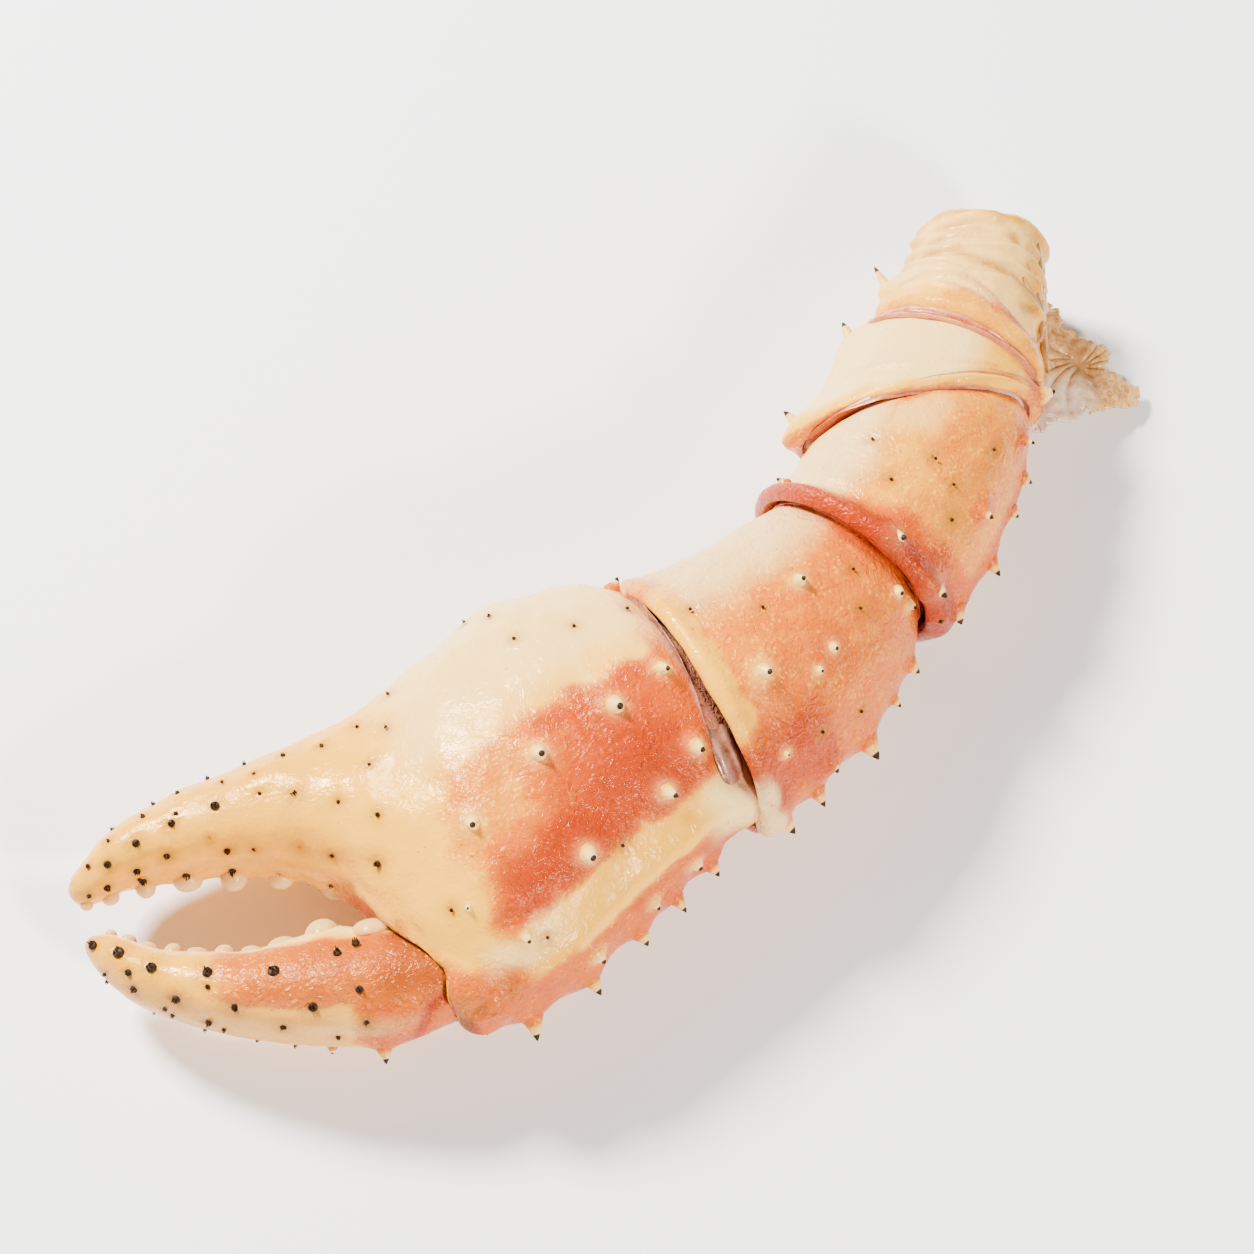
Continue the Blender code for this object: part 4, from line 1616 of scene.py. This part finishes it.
def wrist(segment: Segment) -> Shell:
    """Describes the wrist segment.

    Args:
        segment: where it lies.

    Returns:
        The shell to build.
    """
    return Shell(
        segment,
        rim=Rim(),
        sides=28,
        red=0.40,
        under_red=0.35,
        seed=3.0,
        collar=0.0008,
        panels=(
            Panel(-0.2, 1.1, 35, 66, 0.47, 0.10, 30),
            Panel(-0.3, 0.10, 60, 80, 0.66, 0.08, 24),
            Panel(0.66, 1.2, 28, 20, 0.72, 0.14, 20),
            Panel(0.45, 0.60, 58, 9, 0.58, 0.10, 12),
            Panel(0.30, 1.2, -12, 14, 0.52, 0.10, 14),
            Panel(0.90, 1.2, 92, 40, 0.24, 0.05, 12),
        ),
        pale=(Panel(0.05, 0.88, 138, 30, 0.60, 0.16, 26), Panel(0.95, 1.1, 8, 22, 0.7, 0.05, 12)),
        swells=(
            Swell(0.92, 172, 0.0014, 0.0040),
            Swell(0.97, 4, 0.0022, 0.0030),
            Swell(0.74, 12, 0.0008, 0.0030),
        ),
        crests=(Crest(((0.30, 10), (0.55, 6), (0.85, 6)), 0.0005, 0.0022),),
        spines=row(
            (0.21, -2, 3.0, 1.9, 10), (0.34, -6, 2.4, 1.6, 10), (0.52, -6, 5.6, 3.0, 15),
            (0.70, 8, 2.8, 1.8, 12, -10), (0.77, -8, 3.8, 2.3, 12), (0.93, -8, 4.6, 2.5, -5),
            (0.97, 14, 2.0, 1.6, -5), (0.40, -50, 2.6, 1.8, 8), (0.68, -46, 2.8, 1.9, 8),
        ),
        tubercles=row(
            (0.42, 91, 2.6, 1.9, -4, -26), (0.50, 58, 1.9, 1.4, 0, -16), (0.60, 55, 1.4, 1.1, 0, -16),
            (0.79, 70, 3.1, 2.1, 0, -22), (0.12, 46, 2.4, 1.4, 30), (0.11, 34, 2.4, 1.4, 34),
            (0.86, 34, 1.0, 0.9),
        ),
        tufts=dots(0.45, (0.52, 20), (0.30, 60), (0.70, 30), (0.2, 75), (0.62, 92), (0.88, 110)),
        lumps=0.0004,
    )


def elbow(segment: Segment) -> Shell:
    """Describes the elbow segment.

    Args:
        segment: where it lies.

    Returns:
        The shell to build.
    """
    return Shell(
        segment,
        rim=Rim(),
        sides=28,
        red=0.38,
        under_red=0.35,
        seed=4.0,
        collar=0.0014,
        collar_red=0.86,
        collar_width=0.0046,
        panels=(
            Panel(-0.2, 1.1, 30, 56, 0.39, 0.10, 30),
            Panel(0.84, 1.2, 45, 60, 0.68, 0.10, 20),
            Panel(-0.3, 0.06, 60, 70, 0.60, 0.08, 24),
            Panel(0.1, 0.9, 100, 20, 0.33, 0.14, 20),
            Panel(-0.1, 0.9, -4, 14, 0.54, 0.10, 12),
        ),
        pale=(Panel(0.0, 0.92, 142, 34, 0.65, 0.12, 24), Panel(0.10, 0.36, 92, 14, 0.30, 0.16, 16)),
        swells=(Swell(0.90, -8, 0.0010, 0.0030),),
        crests=(Crest(((0.10, 40), (0.35, 60), (0.55, 80)), -0.0003, 0.0016),),
        spines=row(
            (0.24, 24, 2.6, 1.6, 10, -10), (0.33, 4, 2.4, 1.7, 10), (0.46, 2, 2.2, 1.6, 20),
            (0.66, -3, 3.8, 2.2, 24), (0.90, -6, 4.0, 2.3, 24), (0.93, 148, 2.2, 1.5, 20),
            (0.60, 36, 3.0, 1.8, 14, -20), (1.01, 10, 3.2, 2.0, 30), (0.5, -48, 2.4, 1.7, 10),
        ),
        tubercles=row((0.985, 68, 4.2, 2.0, 4, -20), (0.99, 32, 4.4, 2.1, 14, -20)),
        tufts=dots(0.45, (0.58, 60), (0.72, 50), (0.35, 45), (0.5, 75), (0.7, 90), (0.45, 110)),
        lumps=0.0004,
    )


def upper_arm(segment: Segment) -> Shell:
    """Describes the short oblique segment.

    Args:
        segment: where it lies.

    Returns:
        The shell to build.
    """
    return Shell(
        segment,
        rim=Rim(),
        sides=24,
        red=0.12,
        under_red=0.22,
        seed=5.0,
        collar=0.0005,
        collar_red=0.40,
        collar_width=0.0008,
        panels=(
            Panel(-0.3, 0.14, 60, 90, 0.40, 0.12, 24),
            Panel(0.2, 1.2, 6, 26, 0.58, 0.14, 20),
        ),
        pale=(Panel(0.10, 0.92, 120, 50, 0.65, 0.14, 24),),
        crests=(Crest(((0.62, 150), (0.70, 100), (0.62, 60)), 0.0003, 0.0008, 0.30),),
        spines=row((0.55, -40, 2.4, 1.7)),
        horns=row((0.30, 166, 5.0, 2.3, -30), (0.95, 168, 5.0, 2.4, -20)),
        tubercles=row((0.55, 11, 3.4, 2.2, 0, -6),),
        lumps=0.0003,
    )


def stub(segment: Segment) -> Shell:
    """Describes the cut segment with its pleats, a wrinkled lip, veins and amber lines.

    Args:
        segment: where it lies.

    Returns:
        The shell to build.
    """
    pleats = tuple(
        Crest(((place, 175), (place + 0.10, 120), (place - 0.02, 60), (place + 0.05, 5)), tall, 0.0010, 0.20)
        for place, tall in ((0.15, 0.0013), (0.29, 0.0017), (0.43, 0.0015), (0.57, 0.0012))
    )
    lips = (
        Crest(((0.05, 178), (0.02, 130), (0.06, 90), (0.01, 50), (0.05, 5)), 0.0022, 0.0013),
        Crest(((0.16, 165), (0.11, 120), (0.07, 85)), 0.0012, 0.0010),
    )
    veins = (
        Crest(((0.74, 150), (0.66, 122), (0.64, 100)), 0.0003, 0.0006, 0.50),
        Crest(((0.64, 105), (0.76, 75), (0.90, 45)), 0.0003, 0.0008, 0.60),
        Crest(((0.78, 112), (0.80, 85), (0.94, 50), (1.0, 30)), 0.0003, 0.0006, 0.50),
    )
    amber_lines = tuple(
        Crest(places, 0.0, 0.0009, 0.95)
        for places in (
            ((0.19, 165), (0.13, 122), (0.09, 85)),
            ((0.42, 170), (0.30, 140), (0.18, 95)),
            ((0.52, 172), (0.44, 140), (0.38, 108)),
            ((0.05, 84), (0.20, 60)),
            ((0.04, 72), (0.02, 45), (0.08, 15)),
            ((0.46, 105), (0.52, 60), (0.60, 28)),
            ((0.30, 40), (0.44, 30), (0.58, 20)),
            ((0.68, 44), (0.62, 30), (0.58, 16)),
        )
    )
    return Shell(
        segment,
        rim=Rim(),
        cut=Rim(
            (
                (0.0, 0.0), (0.0003, 0.0007), (0.0, 0.0016), (-0.003, 0.0018), (-0.0064, 0.0024),
                (-0.0068, 0.006),
            )
        ),
        sides=28,
        red=0.08,
        under_red=0.15,
        seed=6.0,
        slot="pale_shell",
        collar=0.0006,
        collar_red=0.30,
        panels=(Panel(0.80, 1.2, 60, 50, 0.32, 0.08, 20),),
        pale=(Panel(0.05, 0.80, 110, 70, 0.45, 0.10, 24),),
        amber=(
            Panel(-0.1, 0.62, 12, 34, 0.62, 0.20, 24),
            Panel(-0.1, 0.03, 90, 180, 0.50, 0.06, 20),
            Panel(0.05, 0.34, 165, 16, 0.34, 0.10, 14),
        ),
        lines=amber_lines,
        crests=pleats + lips + veins,
        horns=row((0.74, 166, 6.2, 2.0, -28),),
        tubercles=row((0.43, 32, 1.6, 1.2),),
        lumps=0.0006,
    )


# --------------------------------------------------------------------------------------------
# Soft parts


PINK_SKIN = SkinFinish("pink skin", (0.72, 0.24, 0.06), (0.48, 0.10, 0.015), (0.40, 0.025, 0.0), 0.6, 0.10)
GAPE_SKIN = SkinFinish("gape skin", (0.60, 0.30, 0.16), (0.20, 0.02, 0.005), (0.40, 0.02, 0.002), 0.5, 0.30)
WRIST_SKIN = SkinFinish("wrist skin", (0.50, 0.19, 0.10), (0.14, 0.035, 0.02), (0.22, 0.02, 0.01), 0.4, 0.25)
FLESH = SkinFinish("flesh", (0.90, 0.74, 0.64), (0.80, 0.52, 0.42), (0.80, 0.34, 0.22), 0.35, 0.6)
TORN_SKIN = SkinFinish(
    "torn membrane", (0.80, 0.47, 0.17), (0.46, 0.20, 0.04), (0.26, 0.09, 0.010), 0.6, 0.25
)


@dataclass(frozen=True)
class Sleeve:
    """The folded skin of a joint, drawn round the root of the segment it leads to."""

    node: str
    segment: Segment
    start: float
    end: float
    folds: float
    out: float
    fold: float
    red: float
    pale: float
    finish: SkinFinish
    sunk: float = 0.0012
    window: tuple[float, float] | None = None  # the middle and half angle at which it is seen
    tucked: float = 0.0036  # how far it is pressed in where it isn't seen

    def wave(self, share: np.ndarray | float) -> np.ndarray:
        """The height of the folds at shares of the sleeve's length, from 0 to 1."""
        return 0.5 - 0.5 * np.cos(2 * math.pi * self.folds * share)

    def build(self) -> bpy.types.Object:
        """Makes the sleeve.

        Returns:
            The finished object.
        """
        count = max(8, round(10 * self.folds))
        run = self.end - self.start
        rings = []
        for k in range(-1, count + 2):
            share = min(max(k / count, 0.0), 1.0)
            grow = -self.sunk if k in (-1, count + 1) else self.out + self.fold * float(self.wave(share))
            rings.append(self.segment.ring((self.start + run * share) / self.segment.length, grow))
        made = tube(f"{self.node}_skin", rings, 32)
        subdivide(made, 2)
        points, normals = points_of(made), normals_of(made)
        points += normals * (0.0003 * rumple(points, 0.003, 4.0))[:, None]
        if self.window:
            middle, half = self.window
            _, angle = self.segment.places(points)
            off = ((angle - middle + 180) % 360 - 180) / half
            points -= normals * (self.tucked * (1 - np.exp(-off * off)))[:, None]
        wave = self.wave((points[:, 0] - self.start) / run)
        amounts = {
            Pigment.RED: self.red * smooth(1 - wave),
            Pigment.PALE: self.pale * smooth(wave),
            # Painted shade: the dark mask darkens the valleys between the folds.
            Pigment.DARK: 0.5 * smooth(0.4 - wave),
        }
        paint(made, amounts)
        set_points(made, self.segment.bend(points))
        made.data.shade_smooth()
        give(made, self.finish.material())
        LOG.info("%s: %d faces", self.node, len(made.data.polygons))
        return made


def joint_skins(segments: dict[str, Segment]) -> tuple[Sleeve, ...]:
    """Describes the skins of the five joints.

    Args:
        segments: the segments by name.

    Returns:
        The sleeves to build.
    """
    return (
        Sleeve(
            "membrane_coxa", segments["ischium"], -0.003, 0.0030, 2.5, 0.0003, 0.0010, 0.3, 0.2, PINK_SKIN
        ),
        Sleeve(
            "membrane_ischium", segments["merus"], -0.006, 0.0016, 2.0, 0.0024, 0.0008, 0.3, 0.5, PINK_SKIN,
            window=(158.0, 56.0),
        ),
        Sleeve(
            "membrane_elbow", segments["carpus"], -0.005, 0.0018, 2.0, 0.0003, 0.0010, 0.8, 0.0, GAPE_SKIN
        ),
        Sleeve(
            "membrane_wrist", segments["propodus"], -0.005, 0.0046, 3.0, -0.0002, 0.0007, 0.0, 0.1,
            WRIST_SKIN, window=(40.0, 36.0),
        ),
        Sleeve(
            "membrane_finger", segments["dactylus"], -0.006, 0.0006, 2.0, -0.0004, 0.0005, 0.5, 0.3, GAPE_SKIN
        ),
    )


@dataclass(frozen=True)
class Meat:
    """The stump of flesh in the cut end."""

    segment: Segment
    wall: float = 0.0021  # of the shell around it
    back: float = 0.0060  # how deep in the shell it starts
    # Its face, as (place along the shell, how much narrower), bulging out past the cut.
    dome: tuple[tuple[float, float], ...] = (
        (0.0014, 0.0), (0.0004, 0.0006), (-0.0008, 0.0020), (-0.0018, 0.0050), (-0.0022, 0.0095)
    )
    finish: SkinFinish = FLESH

    def build(self) -> bpy.types.Object:
        """Makes the stump, its face towards the cut, with muscle fibres.

        Returns:
            The finished object.
        """
        steps = ((self.back, 0.0), *self.dome)
        rings = [self.segment.ring(x / self.segment.length, -self.wall - inset) for x, inset in steps]
        made = tube("flesh_stump", rings, 32)
        subdivide(made, 3)
        points, normals = points_of(made), normals_of(made)
        fibres = rumple(points * np.array([0.25, 1.0, 1.0]), 0.0016, 9.0)
        points += normals * (0.0004 * fibres)[:, None]
        paint(made, {Pigment.PALE: 0.4 * smooth(0.5 + fibres), Pigment.AMBER: 0.15 * smooth(-fibres)})
        set_points(made, self.segment.bend(points))
        made.data.shade_smooth()
        give(made, self.finish.material())
        LOG.info("flesh: %d faces", len(made.data.polygons))
        return made


@dataclass(frozen=True)
class Strand:
    """A string of torn tissue over a segment, from one (along, angle) to another."""

    start: tuple[float, float]
    end: tuple[float, float]
    rise: float = 0.0  # how far the end stands off the segment
    radius: float = 0.0008

    def build(self, segment: Segment, turn: float) -> bpy.types.Object:
        """Makes the string, thick at its start, as a swept path.

        Args:
            segment: the segment that it hangs on.
            turn: what its wobble starts from, so that no two are alike.

        Returns:
            The string as a mesh.
        """
        deselect()
        bpy.ops.curve.primitive_nurbs_path_add()
        made = bpy.context.active_object
        made.data.bevel_depth = self.radius
        made.data.bevel_resolution = 1
        made.data.resolution_u = 5
        made.data.use_fill_caps = True
        points = made.data.splines[0].points
        for k, point in enumerate(points):
            share = k / (len(points) - 1)
            along = self.start[0] + (self.end[0] - self.start[0]) * share + 0.02 * math.sin(turn + 2.6 * k)
            angle = self.start[1] + (self.end[1] - self.start[1]) * share + 3.0 * math.sin(2 * turn + 2.1 * k)
            out, _, _ = segment.directions(along, angle)
            lift = 0.0004 + self.rise * share**1.5 + 0.0005 * math.sin(turn + 1.7 * k) * share
            place = segment.surface(along, angle) + out * lift
            place.z = max(place.z, 1.5 * self.radius)
            point.co = (*place, 1)
            point.radius = 1.15 - 0.75 * share
        bpy.ops.object.convert(target="MESH")
        paint(made, {Pigment.AMBER: 0.8, Pigment.DARK: 0.1})
        return made


STRANDS = (
    Strand((0.58, 18), (0.36, 44)),
    Strand((0.58, 18), (0.50, 52)),
    Strand((0.57, 17), (0.24, 24)),
    Strand((0.57, 17), (0.30, 4), 0.0008),
    Strand((0.59, 16), (0.10, 14), 0.0004),
    Strand((0.59, 15), (0.42, -6), 0.0010, 0.0009),
    Strand((0.60, 14), (0.70, -4), 0.0010, 0.0009),
    Strand((0.60, 16), (0.80, 20)),
    Strand((0.30, 20), (0.04, 34), 0.0008),
    Strand((0.26, 16), (0.02, 8), 0.0006),
    Strand((0.16, 10), (0.02, -12), 0.0008),
    Strand((0.10, 60), (0.02, 40), 0.0003, 0.0006),
    Strand((0.06, 100), (0.02, 84), 0.0003, 0.0006),
    Strand((0.05, 140), (0.02, 118), 0.0003, 0.0006),
    Strand((0.74, 8), (0.94, 2), 0.0010),
)


@dataclass(frozen=True)
class TornFlap:
    """The ragged sheet of membrane beside the cut end, with its strands."""

    place: tuple[float, float, float] = (ARM_END[0] + 0.0195, ARM_END[1] - 0.0245, ARM_END[2] - 0.0075)
    root: float = 0.0130
    reach: float = 0.0140
    length: float = 0.036
    droop: float = -0.42
    columns: int = 90
    rows: int = 120
    thickness: float = 0.0007
    knot: tuple[float, float] = (0.52, 0.46)  # where the creases meet, in shares across and down
    finish: SkinFinish = TORN_SKIN

    def edge(self, lengthwise: np.ndarray) -> np.ndarray:
        """Finds how far the ragged outer edge runs out.

        Args:
            lengthwise: places from the upper end at 0 to the lower end at 1.

        Returns:
            Shares of the width.
        """
        stations = np.array((0.0, 0.12, 0.24, 0.36, 0.47, 0.56, 0.66, 0.78, 0.90, 1.0))
        reaches = np.array((0.10, 0.34, 0.40, 0.74, 0.72, 1.00, 0.92, 0.60, 0.30, 0.08))
        return np.interp(lengthwise, stations, reaches)

    def creases(self, across: np.ndarray, down: np.ndarray) -> tuple[np.ndarray, np.ndarray]:
        """Finds how each point lies to the creases.

        Args:
            across: shares of the width.
            down: shares of the length.

        Returns:
            The distance from the knot, and the nearness to a crease that runs to it, from 0 to 1.
        """
        side, up = across - self.knot[0], (down - self.knot[1]) * 1.35
        away = np.hypot(side, up)
        turn = np.arctan2(up, side)
        wander = 0.35 * np.sin(5.0 * away + 2.0 * turn)
        fine = np.abs(np.sin(4.5 * (turn + wander) + 1.6 * np.sin(2 * turn + 0.7)))
        return away, 1 - fine**0.7

    def shares(self, spread: np.ndarray) -> tuple[np.ndarray, np.ndarray]:
        """Finds where points of the spread sheet are.

        Args:
            spread: the points, with the line of the root at X = 0.

        Returns:
            Their shares of the width and of the length.
        """
        return (spread[:, 0] + self.root) / (self.root + self.reach), 0.5 - spread[:, 1] / self.length

    def shape(self, made: bpy.types.Object) -> None:
        """Gives the spread grid its creases, its unevenness and its droop.

        Args:
            made: the sheet, which is brought to its place.
        """
        spread = points_of(made)
        away, crease = self.creases(*self.shares(spread))
        fold = -0.0011 * crease * smooth(away / 0.12) * np.exp(-((away / 0.55) ** 2))
        pucker = -0.0016 * np.exp(-((away / 0.10) ** 2))
        rough = 0.0014 * rumple(spread, 0.007, 3.0) + 0.0005 * rumple(spread, 0.002, 8.0)
        points = spread + np.array(self.place)
        points[:, 2] += fold + pucker + rough + self.droop * spread[:, 0]
        points[:, 2] = np.maximum(points[:, 2], LOWEST_TISSUE)
        set_points(made, points)

    def torn(self, spread: np.ndarray) -> np.ndarray:
        """Tells which points of the spread sheet are torn away.

        Args:
            spread: the points.

        Returns:
            True past the ragged edge and in the frayed holes near it.
        """
        across, down = self.shares(spread)
        frayed = rumple(spread, 0.0030, 21.0) + 0.7 * rumple(spread, 0.0010, 13.0)
        ragged = 0.10 * rumple(spread, 0.0040, 5.0) + 0.05 * rumple(spread, 0.0012, 6.0)
        inside = self.edge(down) + ragged - across
        return (inside < 0.0) | (frayed > 0.42 + 1.9 * smooth((inside - 0.04) / 0.55))

    def tint_sheet(self, made: bpy.types.Object) -> None:
        """Paints the sheet: tan at the knot, along the creases and at the upper end, pale below.

        Args:
            made: the sheet in its place.
        """
        spread = points_of(made) - np.array(self.place)
        across, down = self.shares(spread)
        away, crease = self.creases(across, down)
        amber = 0.80 * np.exp(-((away / 0.16) ** 2)) + 0.60 * crease**3 * np.exp(-((away / 0.5) ** 2))
        amber += 0.30 * smooth(0.55 - down) * smooth(0.5 + rumple(spread, 0.004, 17.0))
        pale = 0.55 * smooth((down - 0.50) / 0.2) * smooth((0.75 - across) / 0.3)
        paint(made, {Pigment.AMBER: np.clip(amber, 0, 0.9), Pigment.PALE: pale})

    def build(self, beside: Segment) -> bpy.types.Object:
        """Makes the sheet and its strings: a grid held along the arm, creased and torn.

        Args:
            beside: the segment that the strings hang on.

        Returns:
            The finished object.
        """
        deselect()
        bpy.ops.mesh.primitive_grid_add(x_subdivisions=self.columns, y_subdivisions=self.rows, size=1.0)
        made = bpy.context.active_object
        made.name = "torn_flap_sheet"
        width = self.root + self.reach
        spread = (points_of(made) + (0.5, 0, 0)) * (width, self.length, 0) - (self.root, 0, 0)
        set_points(made, spread)
        gone = self.torn(spread)
        self.shape(made)
        lone(made)
        for vertex, lost in zip(made.data.vertices, gone):
            vertex.select = bool(lost)
        for edge in made.data.edges:
            edge.select = False
        for face in made.data.polygons:
            face.select = all(gone[i] for i in face.vertices)
        bpy.ops.object.mode_set(mode="EDIT")
        bpy.ops.mesh.select_mode(type="FACE")
        bpy.ops.mesh.delete(type="FACE")
        bpy.ops.mesh.select_all(action="SELECT")
        bpy.ops.mesh.delete_loose()
        bpy.ops.object.mode_set(mode="OBJECT")
        apply(made, "SOLIDIFY", thickness=self.thickness, offset=0.0)
        self.tint_sheet(made)
        join(made, [strand.build(beside, 1.3 * k) for k, strand in enumerate(STRANDS)])
        made.data.shade_smooth()
        give(made, self.finish.material())
        LOG.info("torn flap: %d faces", len(made.data.polygons))
        return made


# --------------------------------------------------------------------------------------------
# Studio


@dataclass(frozen=True)
class Studio:
    """Floor, soft lights and camera."""

    elevation: float = 65.0
    lens: float = 100.0
    distance: float = 0.70
    aim: tuple[float, float, float] = (0.0, 0.0, 0.018)
    daylight: float = 0.32
    # The key and the fill light: name, place, size, power, colour.
    lights: tuple = (
        ("key", (-0.62, 0.52, 0.80), 0.24, 58, (1.0, 0.985, 0.96)),
        ("fill", (0.55, -0.70, 0.60), 0.14, 20, (1.0, 0.97, 0.92)),
    )

    def floor(self) -> bpy.types.Object:
        """Makes a plain pale floor.

        Returns:
            The floor.
        """
        deselect()
        bpy.ops.mesh.primitive_plane_add(size=6.0, location=(0, 0, -0.0002))
        made = bpy.context.active_object
        made.name = "floor"
        bpy.ops.object.transform_apply(location=True)
        give(made, FloorFinish().material())
        return made

    def light(self, name: str, place: tuple, size: float, power: float, colour: tuple) -> None:
        """Adds a square soft light that faces the claw.

        Args:
            name: its name.
            place: where it is.
            size: how wide it is.
            power: how many watts it gives.
            colour: its red, green and blue.
        """
        data = bpy.data.lights.new(name, "AREA")
        data.shape = "SQUARE"
        data.size = size
        data.energy = power
        data.color = colour
        made = bpy.data.objects.new(name, data)
        bpy.context.scene.collection.objects.link(made)
        made.location = place
        made.rotation_euler = (Vector(self.aim) - Vector(place)).to_track_quat("-Z", "Y").to_euler()

    def set_up(self) -> None:
        """Sets up the world, the lights and the camera."""
        world = bpy.data.worlds.new("studio")
        world.use_nodes = True
        back = world.node_tree.nodes["Background"]
        Graph(world.node_tree).feed(back, {"Color": (1.0, 1.0, 1.0, 1.0), "Strength": self.daylight})
        bpy.context.scene.world = world
        for light in self.lights:
            self.light(*light)
        data = bpy.data.cameras.new("camera")
        data.lens = self.lens
        data.clip_start = 0.01
        made = bpy.data.objects.new("camera", data)
        bpy.context.scene.collection.objects.link(made)
        turn = math.radians(self.elevation)
        offset = Vector((0, -math.cos(turn), math.sin(turn))) * self.distance
        made.location = Vector(self.aim) + offset
        made.rotation_euler = (-offset).to_track_quat("-Z", "Y").to_euler()
        bpy.context.scene.camera = made


def main() -> None:
    """Builds the claw's looks around the solids, piece by piece."""
    layout = "%(name)s %(relativeCreated)d: %(message)s"
    logging.basicConfig(level=logging.INFO, format=layout, stream=sys.stdout)
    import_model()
    segments = chain()
    effects = Effects()
    shell_finish = ShellFinish().material(effects)
    box = StudBox()
    shells = (
        palm(segments["propodus"], segments["dactylus"]),
        finger(segments["dactylus"]),
        wrist(segments["carpus"]),
        elbow(segments["merus"]),
        upper_arm(segments["ischium"]),
        stub(segments["coxa"]),
    )
    for shell in shells:
        made = shell.build(box, shell_finish)
        settle(made, shell.segment.name)
    box.clear()
    for sleeve in joint_skins(segments):
        settle(sleeve.build(), sleeve.node)
    settle(Meat(segments["coxa"]).build(), "flesh")
    settle(TornFlap().build(segments["coxa"]), "torn_flap")
    studio = Studio()
    studio.floor()
    studio.set_up()


if __name__ == "__main__":
    main()
